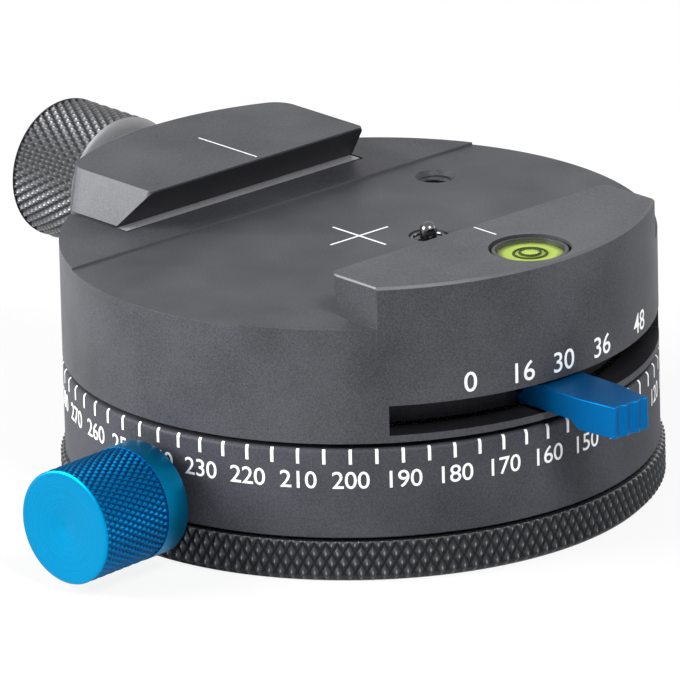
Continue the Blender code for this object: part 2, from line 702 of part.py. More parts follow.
def tap_hole():
    """The small threaded hole in the floor, with its countersunk mouth."""
    mouth = TAP_RADIUS + TAP_MOUTH
    profile = [(0, OVERRUN), (mouth, OVERRUN), (mouth, 0), (TAP_RADIUS, -TAP_MOUTH),
               (TAP_RADIUS, -TAP_DEPTH), (0, -TAP_DEPTH)]
    hole = turned("stop_screw_hole", profile, PIN_STEPS + PIN_STEPS // 2)
    hole.location = (TAP_X, TAP_Y, 0)
    return hole


def pin_well():
    well = turned("pin_well", rod_profile(PIN_WELL_RADIUS, PIN_WELL_BOTTOM, OVERRUN), PIN_STEPS * 2)
    well.location = (PIN_X, PIN_Y, 0)
    return well


def level_recess():
    recess = turned("level_recess", rod_profile(
        LEVEL_RADIUS, LEVEL_FLOOR, JAW_RISE + OVERRUN), KNOB_STEPS)
    recess.location = (0, LEVEL_Y, 0)
    return recess


def disc_clip_low():
    return DISC_BOTTOM - GAP - CLIP_THICKNESS


def make_disc_clip():
    """The open snap ring on the hub that keeps the selector disc up."""
    inner = ROTOR_HUB_RADIUS - CLIP_SEAT + GAP
    start, end = CLIP_OPENING / 2, 2 * math.pi - CLIP_OPENING / 2
    outline = ring_points(inner + CLIP_WIDTH, start, end, 28) + ring_points(inner, end, start, 28)
    flat_piece("disc_clip", outline, disc_clip_low(), DISC_BOTTOM - GAP, STEEL)


def make_guide_pins():
    for side, x in (("left", -GUIDE_X), ("right", GUIDE_X)):
        low, high = POCKET_FRONT - GUIDE_BITE, POCKET_FRONT + GUIDE_REACH
        pin = turned(f"guide_pin_{side}", rod_profile(GUIDE_RADIUS, low, high, EDGE_CHAMFER), PIN_STEPS, STEEL)
        aim(pin, (x, 0, CLAMP_Z), (0, 1, 0))


def make_level():
    """A round spirit level: black cup, liquid and clear cap."""
    outer = LEVEL_RADIUS - GAP
    inner = outer - LEVEL_CUP_WALL
    low, high = LEVEL_FLOOR + GAP, JAW_RISE - LEVEL_CUP_SINK
    floor = low + LEVEL_CUP_FLOOR
    cup = turned("level_cup", [(outer, high), (outer, low), (0, low), (0, floor), (inner, floor),
                               (inner, high)], KNOB_STEPS, BLACK_PLASTIC)
    puck = inner - GAP
    liquid_low = floor + GAP
    glass_low = liquid_low + LEVEL_LIQUID_HEIGHT + GAP
    liquid = turned("level_liquid", rod_profile(
        puck, liquid_low, liquid_low + LEVEL_LIQUID_HEIGHT, EDGE_CHAMFER), RING_STEPS // 2, LIQUID)
    glass = turned("level_glass", rod_profile(
        puck, glass_low, glass_low + LEVEL_GLASS_HEIGHT, EDGE_CHAMFER), RING_STEPS // 2, GLASS)
    for obj in (cup, liquid, glass):
        obj.location = (0, LEVEL_Y, 0)


def make_safety_pin():
    """A sprung pin with a shoulder under its bush, so that it can't come out."""
    foot = PIN_WELL_BOTTOM + PIN_TRAVEL + GAP
    dome = [(0, PIN_RISE)] + [(x, PIN_RISE - PIN_RADIUS + y)
                              for x, y in reversed(ring_points(PIN_RADIUS, 0, math.radians(60), 3))]
    profile = dome + [
        (PIN_RADIUS, PIN_SHOULDER_TOP), (PIN_SHOULDER_RADIUS, PIN_SHOULDER_TOP),
        (PIN_SHOULDER_RADIUS, PIN_SHOULDER_BOTTOM), (PIN_RADIUS, PIN_SHOULDER_BOTTOM), (PIN_RADIUS, foot),
        (0, foot),
    ]
    pin = turned("safety_pin", profile, PIN_STEPS, STEEL)
    bush = turned("pin_bush", tube_profile(PIN_WELL_RADIUS - GAP, PIN_RADIUS + GAP, PIN_BUSH_BOTTOM,
                                           PIN_BUSH_TOP), PIN_STEPS * 2, STEEL)
    spring = coil("pin_spring", PIN_SPRING_RADIUS, PIN_SPRING_WIRE, PIN_SPRING_TURNS,
                  PIN_WELL_BOTTOM + GAP, PIN_SHOULDER_BOTTOM - GAP, STEEL)
    for obj in (pin, bush, spring):
        obj.location = (PIN_X, PIN_Y, 0)


def loft(name, sections):
    """A closed skin through (outline, height) sections that have the same number of points."""
    count = len(sections[0][0])
    points = [(x, y, height) for outline, height in sections for x, y in outline]
    faces = [tuple(reversed(range(count))), tuple(range(len(points) - count, len(points)))]
    for low in range(0, len(points) - count, count):
        for i in range(count):
            after = (i + 1) % count
            faces.append((low + i, low + after, low + count + after, low + count + i))
    mesh = bpy.data.meshes.new(name)
    mesh.from_pydata(points, [], faces)
    weld(mesh)
    return keep(name, mesh, None)


def jaw_plan(half, inset):
    """The jaw from above: the drum's round at its back, flat ends, and rounded corners."""
    lip, back = MOVING_LIP_CORNER, MOVING_BACK_CORNER
    radius = DRUM_RADIUS - inset
    across = half - back
    reach = math.sqrt((radius - back) ** 2 - across ** 2)
    meet = math.atan2(reach, across)
    right = [(half - lip + x, MOVING_LIP_Y + lip + y) for x, y in ring_points(lip, -math.pi / 2, 0, 3)]
    right += [(across + x, reach + JAW_REST_OPEN + y) for x, y in ring_points(back, 0, meet, 4)]
    right += [(x, y + JAW_REST_OPEN) for x, y in ring_points(radius, meet, math.pi / 2, 6)[1:]]
    return right + [(-x, y) for x, y in reversed(right[:-1])]


def make_moving_jaw():
    """The sliding jaw: its side profile, kept inside an outline with sloping ends and a round back."""
    top, far = JAW_RISE + OVERRUN, DRUM_RADIUS + JAW_REST_OPEN + OVERRUN
    lip, foot_y = MOVING_LIP_Y, MOVING_LIP_Y + MOVING_UNDERCUT
    lip_low = JAW_RISE - MOVING_LIP_FLAT
    side = [(lip, top), (lip, lip_low), (foot_y, LAND_RISE), (JAW_BASE_FRONT, LAND_RISE),
            (JAW_BASE_FRONT, JAW_BASE_BOTTOM), (far, JAW_BASE_BOTTOM), (far, top)]
    jaw = flat_piece("moving_jaw", side, -POCKET_HALF, POCKET_HALF, ANODISED_GREY)
    jaw.matrix_world = ACROSS_X
    foot_half, slope = POCKET_HALF - MOVING_FOOT_INSET, EDGE_CHAMFER
    bound = loft("jaw_outline", [
        (jaw_plan(JAW_BASE_HALF, 0), JAW_BASE_BOTTOM - OVERRUN), (jaw_plan(JAW_BASE_HALF, 0), LAND_RISE),
        (jaw_plan(foot_half, 0), LAND_RISE + slope), (jaw_plan(MOVING_TOP_HALF, 0), JAW_RISE - slope),
        (jaw_plan(MOVING_TOP_HALF, slope), JAW_RISE)])
    trim(jaw, bound)

    screw_hole = turned("jaw_screw_hole", rod_profile(
        CLAMP_SCREW_RADIUS + GAP, JAW_BASE_FRONT - OVERRUN, far), PIN_STEPS * 2)
    spot = turned("jaw_spot_face", rod_profile(
        CLAMP_WASHER_RADIUS + GAP, WASHER_SEAT_Y, far), KNOB_STEPS)
    for obj in (screw_hole, spot):
        aim(obj, (0, 0, CLAMP_Z), (0, 1, 0))
    cut(jaw, screw_hole, spot)
    for side_name, x in (("left", -GUIDE_X), ("right", GUIDE_X)):
        spring_end = JAW_BASE_FRONT + JAW_SPRING_LENGTH + GAP
        profile = [
            (0, POCKET_FRONT + GUIDE_REACH + GAP), (GUIDE_RADIUS + GAP, POCKET_FRONT + GUIDE_REACH + GAP),
            (GUIDE_RADIUS + GAP, spring_end),
            (JAW_SPRING_RADIUS + JAW_SPRING_WIRE + GAP, spring_end),
            (JAW_SPRING_RADIUS + JAW_SPRING_WIRE + GAP, JAW_BASE_FRONT - OVERRUN),
            (0, JAW_BASE_FRONT - OVERRUN),
        ]
        hole = turned(f"jaw_guide_hole_{side_name}", profile, PIN_STEPS * 2)
        aim(hole, (x, 0, CLAMP_Z), (0, 1, 0))
        cut(jaw, hole)
        spring = coil(f"jaw_spring_{side_name}", JAW_SPRING_RADIUS, JAW_SPRING_WIRE, JAW_SPRING_TURNS,
                      JAW_BASE_FRONT, JAW_BASE_FRONT + JAW_SPRING_LENGTH, STEEL)
        aim(spring, (x, 0, CLAMP_Z), (0, 1, 0))


def make_clamp_knob():
    """The knurled knob with its smooth collar, the washer under it and the screw it turns."""
    collar_end = CLAMP_KNOB_Y + CLAMP_COLLAR_LENGTH
    end = collar_end + CLAMP_KNOB_LENGTH
    radius, chamfer = CLAMP_KNOB_RADIUS, KNOB_CHAMFER
    collar = CLAMP_COLLAR_RADIUS
    profile = [
        (0, end - KNOB_DISH), (radius * 2 / 3, end), (radius - chamfer, end), (radius, end - chamfer),
        (radius, collar_end + chamfer), (radius - chamfer, collar_end), (collar, collar_end + chamfer),
        (collar, CLAMP_KNOB_Y + chamfer), (collar - chamfer, CLAMP_KNOB_Y), (0, CLAMP_KNOB_Y),
    ]
    knob = turned("clamp_knob", profile, KNOB_STEPS, ANODISED_BLACK)
    socket_end = CLAMP_KNOB_Y + CLAMP_SOCKET_DEPTH
    socket = turned("clamp_knob_socket", rod_profile(
        CLAMP_SCREW_RADIUS + THREAD_FIT, CLAMP_KNOB_Y - OVERRUN, socket_end), PIN_STEPS)
    screw = turned("clamp_screw", rod_profile(
        CLAMP_SCREW_RADIUS, POCKET_FRONT - CLAMP_BITE, socket_end - GAP, EDGE_CHAMFER), PIN_STEPS, STEEL)
    washer = turned("knob_washer", tube_profile(
        CLAMP_WASHER_RADIUS, CLAMP_SCREW_RADIUS + GAP, CLAMP_WASHER_Y,
        CLAMP_WASHER_Y + CLAMP_WASHER_THICKNESS), KNOB_STEPS, STEEL)
    for obj in (knob, socket, screw, washer):
        aim(obj, (0, 0, CLAMP_Z), (0, 1, 0))
    cut(knob, socket)


def spiral_outline():
    """Both sides of the spiral slot, a constant width measured square to its centre line, and round ends.

    The slot's centre stands at spiral_radius(lever angle) when that part of the disc is at angle 0.
    """
    half = TUBE_RADIUS + GAP
    low, high = FREE_ANGLE, STOPS[-1][1]
    count = 15
    centres = []
    for i in range(count):
        lever = low + (high - low) * i / (count - 1)
        place = math.radians(-lever)
        radius = spiral_radius(lever)
        centre = Vector((radius * math.cos(place), radius * math.sin(place)))
        slope = math.degrees(SPIRAL_RISE)
        along = Vector((slope * math.cos(place) + radius * math.sin(place),
                        slope * math.sin(place) - radius * math.cos(place))).normalized()
        centres.append((centre, along))
    left = [centre + half * Vector((-along.y, along.x)) for centre, along in centres]
    right = [centre - half * Vector((-along.y, along.x)) for centre, along in centres]
    caps = []
    for (centre, along), sign in ((centres[-1], 1), (centres[0], -1)):
        across = Vector((-along.y, along.x))
        caps.append([centre + sign * half * (math.cos(turn) * across + math.sin(turn) * along)
                     for turn in (math.radians(30 * i) for i in range(1, 6))])
    return left + caps[0] + right[::-1] + caps[1]


def lever_plan():
    """The lever from above, with its long axis along X: scalloped tip, tapered head and plain tail."""
    half, tip_half = LEVER_HALF_WIDTH, LEVER_HALF_WIDTH - LEVER_TAPER
    head = LEVER_HEAD_START
    tail = LEVER_STEP - LEVER_TAIL
    points = [(tail, -half), (head, -half), (LEVER_REACH - LEVER_TAPER, -tip_half)]
    per_scallop = 4
    steps = SCALLOPS * per_scallop
    for i in range(steps + 1):
        hollow = SCALLOP_DEPTH * abs(math.sin(math.pi * i / per_scallop))
        points.append((LEVER_REACH - hollow, tip_half * (2 * i / steps - 1) * (1 - EDGE_CHAMFER / half)))
    return points + [(LEVER_REACH - LEVER_TAPER, tip_half), (head, half), (tail, half)]


def make_selector():
    """The disc with the spiral slot, and the lever that is screwed to its edge."""
    disc = turned("selector_disc", tube_profile(
        DISC_RADIUS, ROTOR_HUB_RADIUS + GAP, DISC_BOTTOM, DISC_TOP), RING_STEPS, ANODISED_BLACK)
    cut(disc, flat_piece("spiral_slot", spiral_outline(), DISC_BOTTOM - OVERRUN, DISC_TOP + OVERRUN))
    tail = LEVER_STEP - LEVER_TAIL
    side = LEVER_HALF_WIDTH + GAP
    notch = block("lever_notch", (tail - GAP, -side, DISC_BOTTOM - OVERRUN),
                  (DISC_RADIUS + OVERRUN, side, LEVER_TAIL_TOP + GAP))
    head = LEVER_HEAD_START
    low = DISC_BOTTOM - LEVER_HEAD_DROP
    profile = [(tail, DISC_BOTTOM), (head - LEVER_HEAD_SLOPE, DISC_BOTTOM), (head, low), (LEVER_REACH, low),
               (LEVER_REACH, DISC_TOP), (LEVER_STEP, DISC_TOP), (LEVER_STEP, LEVER_TAIL_TOP),
               (tail, LEVER_TAIL_TOP)]
    lever = flat_piece("selector_lever", profile, -LEVER_HALF_WIDTH, LEVER_HALF_WIDTH, BLUE)
    bound = flat_piece("lever_outline", lever_plan(), low - OVERRUN, DISC_TOP + OVERRUN)
    turn = Matrix.Rotation(LEVER_ANGLE, 4, "Z")
    lever.matrix_world = turn @ Matrix.Rotation(math.radians(90), 4, "X")
    bound.matrix_world = turn
    notch.matrix_world = turn
    trim(lever, bound)
    cut(disc, notch)

    length = DISC_TOP - DISC_BOTTOM - 2 * GAP
    numbers = (LEVER_SCREW_HEAD, LEVER_SCREW_HEAD_DEPTH, LEVER_SCREW_SHANK, length - GAP)
    places = [turn @ Vector((LEVER_SCREW_RADIUS, spread, DISC_BOTTOM))
              for spread in (-LEVER_SCREW_SPREAD, LEVER_SCREW_SPREAD)]
    make_screws("lever_screw", 2, places, screw_profile(*numbers), sink_profile(*numbers), False,
                (lever, disc), STEEL)


def make_detent():
    """The carriage in the rotor's groove, its tube through the spiral slot, and the sprung plunger."""
    at = (spiral_radius(0), 0, 0)
    half = CARRIAGE_HALF
    carriage = block("detent_carriage", (-half, -half, CARRIAGE_BOTTOM), (half, half, CARRIAGE_TOP), BRONZE)
    tube = turned("carriage_tube", rod_profile(
        TUBE_RADIUS, INDEX_TOP + TUBE_FOOT_ROOM, CARRIAGE_TOP - GAP, EDGE_CHAMFER), KNOB_STEPS // 2)
    bore = turned("carriage_bore", rod_profile(
        TUBE_BORE, INDEX_TOP, CARRIAGE_TOP - GAP - GAP), PIN_STEPS)
    join = carriage.modifiers.new("Tube", "BOOLEAN")
    join.operation = "UNION"
    join.object = tube
    cut(carriage, bore)
    top = PLUNGER_FOOT + PLUNGER_LENGTH
    radius = PLUNGER_RADIUS
    plunger = turned("detent_plunger", [
        (0, top), (radius, top), (radius, PLUNGER_FOOT + PLUNGER_TIP_LENGTH),
        (PLUNGER_TIP_RADIUS, PLUNGER_FOOT), (0, PLUNGER_FOOT)], PIN_STEPS, STEEL)
    spring = coil("detent_spring", radius - DETENT_WIRE, DETENT_WIRE, DETENT_TURNS, top + GAP,
                  top + GAP + DETENT_SPRING_LENGTH, STEEL)
    for obj in (carriage, tube, bore, plunger, spring):
        obj.location = at


HEAD, CUTTERS = empty_scene()

ANODISED_GREY = finish("anodised_grey", (0.13, 0.13, 0.14), 0.45, 0.6)
ANODISED_BLACK = finish("anodised_black", (0.03, 0.03, 0.035), 0.5, 0.4)
BLUE = finish("anodised_blue", (0.0, 0.17, 0.50), 0.35, 0.7)
STEEL = finish("steel", (0.55, 0.55, 0.56), 0.35, 1.0)
BRONZE = finish("bronze", (0.45, 0.30, 0.14), 0.45, 1.0)
BLACK_PLASTIC = finish("black_plastic", (0.02, 0.02, 0.02), 0.4, 0.0)
RUBBER = finish("brake_rubber", (0.04, 0.04, 0.04), 0.8, 0.0)
LIQUID = finish("level_liquid", (0.55, 0.75, 0.10), 0.2, 0.0)
GLASS = finish("level_glass", (0.85, 0.92, 0.80), 0.1, 0.0)

base_plate = make_foot_plate()
make_tripod_bush()
scale_drum = make_scale_drum()
base_numbers = (BASE_SCREW_HEAD, BASE_SCREW_HEAD_DEPTH, BASE_SCREW_SHANK,
                SCALE_BOTTOM - FLANGE_BOTTOM + BASE_SCREW_BITE)
make_screws("base_screw", BASE_SCREWS,
            round_places(BASE_SCREWS, BASE_SCREW_CIRCLE, math.radians(45), FLANGE_BOTTOM + BUSH_SINK),
            screw_profile(*base_numbers), sink_profile(*base_numbers), False,
            (base_plate, scale_drum), STEEL)
make_bearing()
index_plate = make_index_plate()
index_numbers = (INDEX_SCREW_HEAD, INDEX_SCREW_HEAD_DEPTH, INDEX_SCREW_SHANK,
                 INDEX_THICKNESS + GAP + INDEX_SCREW_BITE)
make_screws("index_screw", INDEX_SCREWS,
            round_places(INDEX_SCREWS, INDEX_SCREW_CIRCLE, math.radians(60), INDEX_TOP),
            screw_profile(*index_numbers), sink_profile(*index_numbers), True,
            (index_plate, scale_drum), STEEL)
make_lock()
make_spindle()
make_rotor()
make_disc_clip()
make_guide_pins()
make_level()
make_safety_pin()
make_moving_jaw()
make_clamp_knob()
make_selector()
make_detent()
shade(HEAD)
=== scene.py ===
"""Looks of a panoramic tripod head: a knurled foot ring, a degree drum, a rotor with a dovetail clamp,
a click-stop lever, a round level and two knurled knobs.

Metres, +Z up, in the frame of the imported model: the origin is on the turning axis, at the floor of the
dovetail channel. The sliding jaw and its knob are at the back (+Y), the fixed jaw is at the front.
"""

import math

import bmesh
import bpy
import numpy as np
from mathutils import Matrix, Vector


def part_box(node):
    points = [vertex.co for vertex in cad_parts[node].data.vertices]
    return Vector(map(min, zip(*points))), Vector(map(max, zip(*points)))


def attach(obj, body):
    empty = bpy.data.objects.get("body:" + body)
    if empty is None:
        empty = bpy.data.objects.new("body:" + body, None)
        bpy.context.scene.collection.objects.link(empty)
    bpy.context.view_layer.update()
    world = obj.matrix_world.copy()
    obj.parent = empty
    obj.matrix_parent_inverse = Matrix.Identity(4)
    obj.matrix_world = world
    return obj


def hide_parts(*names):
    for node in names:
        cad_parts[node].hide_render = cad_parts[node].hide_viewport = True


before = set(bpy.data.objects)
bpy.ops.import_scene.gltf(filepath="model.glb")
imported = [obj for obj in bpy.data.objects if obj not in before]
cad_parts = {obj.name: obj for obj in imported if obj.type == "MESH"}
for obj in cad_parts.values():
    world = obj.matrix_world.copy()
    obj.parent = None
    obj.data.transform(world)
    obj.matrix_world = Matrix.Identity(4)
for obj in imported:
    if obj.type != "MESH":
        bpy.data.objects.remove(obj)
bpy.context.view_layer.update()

MM = 0.001

# Levels and radii of the turned bodies, read from the frame where a node gives them
FLANGE_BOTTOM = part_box("base_plate")[0].z
FLANGE_RADIUS = 30.5 * MM
FLANGE_TOP = FLANGE_BOTTOM + 4.2 * MM
FOOT_BEVEL = 0.7 * MM
SCREW_CIRCLE = 27.0 * MM
SCREW_HEAD = 2.2 * MM
SCREW_SHANK = 1.2 * MM
SCREW_ROOM = 0.15 * MM
FOOT_HUB_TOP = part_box("base_plate")[1].z
FOOT_HUB_RADIUS = 9.0 * MM
BUSH_RADIUS = 7.0 * MM
FIT = 0.3 * MM
DRUM_RADIUS = 30.0 * MM
SCALE_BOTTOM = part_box("scale_drum")[0].z
SCALE_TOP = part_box("scale_drum")[1].z
DRUM_INNER = 24.0 * MM
CAVITY_RADIUS = 27.0 * MM
WEB_TOP = SCALE_TOP - 2.2 * MM
WEB_BOTTOM = WEB_TOP - 1.7 * MM
BEARING_RADIUS = 7.1 * MM
DISC_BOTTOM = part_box("selector_disc")[0].z
ROTOR_BOTTOM = DISC_BOTTOM - 1.03 * MM
JAW_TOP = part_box("rotor_body")[1].z
LAND = 0.23 * MM
HUB_RADIUS = 10.5 * MM
HUB_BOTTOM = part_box("rotor_body")[0].z
SPINDLE_RADIUS = 5.0 * MM
SPINDLE_TOP = HUB_BOTTOM + 6.5 * MM
OVERRUN = 1.0 * MM
NEAR = 0.02 * MM
ROOM = 0.05 * MM
BODY_STEPS = 288

# Selector slot, cavity and detent groove
SLOT_BOTTOM = DISC_BOTTOM - FIT
SLOT_TOP = SLOT_BOTTOM + 3.1 * MM
CAVITY_TOP = SLOT_TOP + 0.1 * MM
SLOT_START = math.radians(232.8)
SLOT_END = math.radians(319.5)
DISC_TOP = SLOT_TOP - FIT
CLIP_SEAT_DEPTH = 0.6 * MM
CLIP_LOW = DISC_BOTTOM - 1.2 * MM
GROOVE_NEAR = 11.9 * MM
GROOVE_FAR = 27.1 * MM
GROOVE_HALF = 3.1 * MM
GROOVE_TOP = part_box("detent_carriage")[1].z + FIT

# Dovetail channel, jaws and pocket
LOWERED_HALF = 12.4 * MM
FIXED_LIP = -16.3 * MM
FIXED_FOOT = FIXED_LIP - 2.9 * MM
LIP_HEIGHT = 1.4 * MM
FIXED_HALF = 18.9 * MM
FIXED_CORNER = 1.3 * MM
END_CHAMFER = 0.16 * MM
POCKET_HALF = 16.2 * MM
POCKET_FRONT = 16.7 * MM
POCKET_FLOOR = CAVITY_TOP + 1.0 * MM
JAW_OPEN = 0.6 * MM
SLIDING_LIP = 14.8 * MM
SLIDING_LIP_FLAT = 0.2 * MM
SLIDING_FOOT = SLIDING_LIP + 3.7 * MM
SLIDING_TOP_HALF = 14.4 * MM
SLIDING_END = 15.0 * MM
SLIDING_LIP_CORNER = 0.5 * MM
SLIDING_BACK_CORNER = 2.8 * MM
SLIDING_FOOT_HALF = 16.1 * MM
SLIDING_BASE_HALF = 15.9 * MM
SLIDING_BASE_FRONT = 17.0 * MM
SLIDING_BASE_BOTTOM = POCKET_FLOOR + FIT
EDGE = 0.25 * MM
FINE_EDGE = 0.11 * MM
JAW_EDGE = 0.22 * MM

# Knobs: the clamp knob's axis is along +Y, the lock knob's points outwards at its own angle
CLAMP_Z = -3.17 * MM
CLAMP_KNOB_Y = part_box("clamp_knob")[0].y
CLAMP_KNOB_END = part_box("clamp_knob")[1].y
CLAMP_COLLAR_RADIUS = 5.8 * MM
CLAMP_COLLAR_LENGTH = 4.2 * MM
CLAMP_KNOB_RADIUS = 7.25 * MM
CLAMP_SCREW_RADIUS = 2.5 * MM
CLAMP_BITE = 10.5 * MM
WASHER_SEAT_Y = 29.9 * MM
WASHER_RADIUS = 5.0 * MM
GUIDE_X = 11.0 * MM
GUIDE_RADIUS = 1.0 * MM
GUIDE_BITE = 7.3 * MM
GUIDE_REACH = 10.3 * MM
SPRING_ROOM_RADIUS = 2.35 * MM
SPRING_ROOM_LENGTH = 4.0 * MM
LOCK_ANGLE = math.radians(184.8)
LOCK_Z = -19.04 * MM
LOCK_START = 31.1 * MM
LOCK_LENGTH = 12.2 * MM
LOCK_RADIUS = 5.84 * MM
LOCK_NECK = 3.5 * MM
LOCK_SHOULDER = 0.8 * MM
LOCK_SMOOTH = 2.6 * MM
STUD_HOLE = 1.8 * MM

# Level, safety pin and threaded hole
LEVEL_CENTRE = (0.0, -25.2 * MM)
LEVEL_RECESS = 4.15 * MM
LEVEL_DEPTH = 3.5 * MM
TAP_CENTRE = (17.8 * MM, 7.65 * MM)
TAP_RADIUS = 1.65 * MM
TAP_MOUTH = 0.5 * MM
TAP_DEPTH = 6.0 * MM
TAP_PITCH = 0.7 * MM
PIN_CENTRE = (4.6 * MM, -5.4 * MM)
PIN_WELL_RADIUS = 2.0 * MM
PIN_WELL_DEPTH = 5.5 * MM

# Knurls: teeth round the piece, rise of a groove per tooth, depth, and grid cells per tooth
RING_TEETH = 165
RING_PITCH = 2.0 * MM
RING_DEPTH = 0.34 * MM
CLAMP_TEETH = 48
CLAMP_PITCH = 1.6 * MM
CLAMP_DEPTH = 0.34 * MM
LOCK_TEETH = 52
LOCK_PITCH = 1.22 * MM
LOCK_DEPTH = 0.22 * MM
CELLS = 10

# Scale and figures
SCALE_ZERO = math.radians(65.322)
TICK_STEP = math.radians(5)
TICK_HALF_WIDTH = 0.16 * MM
TICK_BOTTOM = -13.75 * MM
MARK_PROUD = 0.012 * MM
MARK_SINK = 0.06 * MM
BAR_CORNERS = ((-1, MARK_PROUD), (1, MARK_PROUD), (1, -MARK_SINK), (-1, -MARK_SINK))
FIGURE_HEIGHT = 1.8 * MM
FIGURE_ADVANCE = 1.27 * MM
FIGURE_BASE = -16.3 * MM
FIGURE_BOLDNESS = 0.004
FIGURE_WIDTH_SHARE = 0.92
STOP_FIGURE_HEIGHT = 2.1 * MM
STOP_FIGURE_ADVANCE = 1.48 * MM
STOP_FIGURE_BASE = -7.15 * MM
STOP_FIGURES = (("0", 248.7), ("16", 259.8), ("30", 269.6), ("36", 280.6), ("48", 295.6))
LINE_HALF_WIDTH = 0.12 * MM
FINE_LINE = 0.08 * MM
CROSS_REACH = 3.9 * MM
CROSS_X = -0.36 * MM
CROSS_Y = -0.56 * MM
LINE_X = 0.4 * MM
INDEX_LINE = (-19.9 * MM, -16.7 * MM)
JAW_LINE = (15.4 * MM, 24.2 * MM)

# Selector lever: its long axis runs outwards at this angle
LEVER_ANGLE = math.radians(269.5)
LEVER_HALF = 2.85 * MM
LEVER_REACH = 39.9 * MM
LEVER_HEAD = 4.8 * MM
LEVER_TAPER = 0.6 * MM
LEVER_SLOPE = 1.2 * MM
LEVER_DROP = 0.8 * MM
LEVER_TAIL = 21.9 * MM
LEVER_STEP = 27.0 * MM
LEVER_TAIL_TOP = -9.5 * MM
LEVER_EDGE = 0.16 * MM
LEVER_RIDGES = 3
LEVER_RIDGE_DEPTH = 0.35 * MM

# Camera: distance, direction, roll and lens that match the photograph
CAMERA_AZIMUTH = math.radians(-42.206)
CAMERA_ELEVATION = math.radians(19.391)
CAMERA_ROLL = math.radians(-1.364)
CAMERA_DISTANCE = 1.2141
CAMERA_AIM = Vector((0, 0, -13.75 * MM))
CAMERA_LENS = 638.9
SENSOR_WIDTH = 36
IMAGE_SIZE = 680
IMAGE_CENTRE = (361.177, 363.051)
WORLD_LEVEL = 0.15
FLOOR_REACH = 4.0

# Quarter turns: one lays a prism's outline in Y and Z, one stands it up in X and Z
SIDEWAYS = Matrix.Rotation(math.radians(90), 4, "Y") @ Matrix.Rotation(math.radians(90), 4, "Z")
UPRIGHT = Matrix.Rotation(math.radians(90), 4, "X")


def operator(operation, reflected=False):
    """An operator of Value, which adds one Math node. A reflected one has its numbers the other way round."""
    def apply(self, other):
        pair = (other, self) if reflected else (self, other)
        return self.nodes.math(operation, *pair)
    return apply


class Value:
    """An output of a node. The operators + - * on it add Math nodes beside it."""

    def __init__(self, nodes, socket):
        self.nodes = nodes
        self.socket = socket

    __add__, __radd__ = operator("ADD"), operator("ADD", True)
    __sub__, __rsub__ = operator("SUBTRACT"), operator("SUBTRACT", True)
    __mul__, __rmul__ = operator("MULTIPLY"), operator("MULTIPLY", True)


class Nodes:
    """The nodes of a material or of the world."""

    def __init__(self, tree):
        self.tree = tree

    def node(self, kind, settings, inputs, output=0):
        """Adds one node: its settings first, then the value or the link of each of its sockets."""
        made = self.tree.nodes.new("ShaderNode" + kind)
        for name, value in settings.items():
            setattr(made, name, value)
        for key, value in inputs.items():
            self.put(made.inputs[key], value)
        return Value(self, made.outputs[output])

    def put(self, socket, value):
        if isinstance(value, Value):
            self.tree.links.new(value.socket, socket)
        else:
            socket.default_value = value

    def math(self, operation, *values):
        return self.node("Math", {"operation": operation}, dict(enumerate(values)))


class Finish(Nodes):
    """A Principled material. What varies over the surface is written as expressions of Values."""

    def __init__(self, name, color, roughness, metallic, **constants):
        self.material = bpy.data.materials.new(name)
        self.material.use_nodes = True
        super().__init__(self.material.node_tree)
        self.shader = self.tree.nodes["Principled BSDF"]
        self.set(Base_Color=(*color, 1.0), Roughness=roughness, Metallic=metallic, **constants)

    def noise(self, size, detail=2.0):
        """Soft noise from 0 to 1 on Object coordinates, with blots of about this size in metres."""
        place = self.node("TexCoord", {}, {}, 3)
        return self.node("TexNoise", {}, {"Vector": place, "Scale": 1 / size, "Detail": detail})

    def lines(self, name, size):
        """Noise along one stored number of the surface, so it draws rings or stripes of this width."""
        inputs = {"W": self.stored(name) * (1 / size), "Scale": 1.0, "Detail": 3.0}
        return self.node("TexNoise", {"noise_dimensions": "1D"}, inputs)

    def stored(self, name):
        """A number that the mesh keeps at its points."""
        return self.node("Attribute", {"attribute_name": name}, {}, 2)

    def spread(self, value, low, high):
        """The value stretched so that low becomes 0 and high becomes 1."""
        return self.node("MapRange", {"clamp": True}, {0: value, 1: low, 2: high})

    def blend(self, first, second, share):
        """A colour between two others."""
        colors = [(*c, 1.0) if isinstance(c, tuple) else c for c in (first, second)]
        return self.node("Mix", {"data_type": "RGBA"}, {0: share, 6: colors[0], 7: colors[1]}, 2)

    def tones(self, color, low, high, share):
        """The colour made darker and lighter by two factors, the lighter where share is 1."""
        dark = tuple(c * low for c in color)
        light = tuple(min(c * high, 1.0) for c in color)
        self.set(Base_Color=self.blend(dark, light, share))

    def set(self, **values):
        for name, value in values.items():
            self.put(self.shader.inputs[name.replace("_", " ")], value)

    def bump(self, height, distance):
        self.set(Normal=self.node("Bump", {}, {"Strength": 1.0, "Distance": distance, "Height": height}))


def satin(name, color, roughness, metallic, depth=0.016 * MM, variety=0.36):
    """Blasted and anodised metal: fine grain in its colour, gloss and surface, and faint large clouds."""
    finish = Finish(name, color, roughness, metallic, Specular_IOR_Level=0.1)
    fine = finish.noise(0.17 * MM, 3.0)
    cloud = finish.noise(9 * MM)
    finish.tones(color, 1 - variety, 1 + variety, finish.spread(0.6 * fine + 0.4 * cloud, 0.35, 0.65))
    finish.set(Roughness=roughness - 0.05 + 0.1 * fine)
    finish.bump(fine, depth)
    return finish


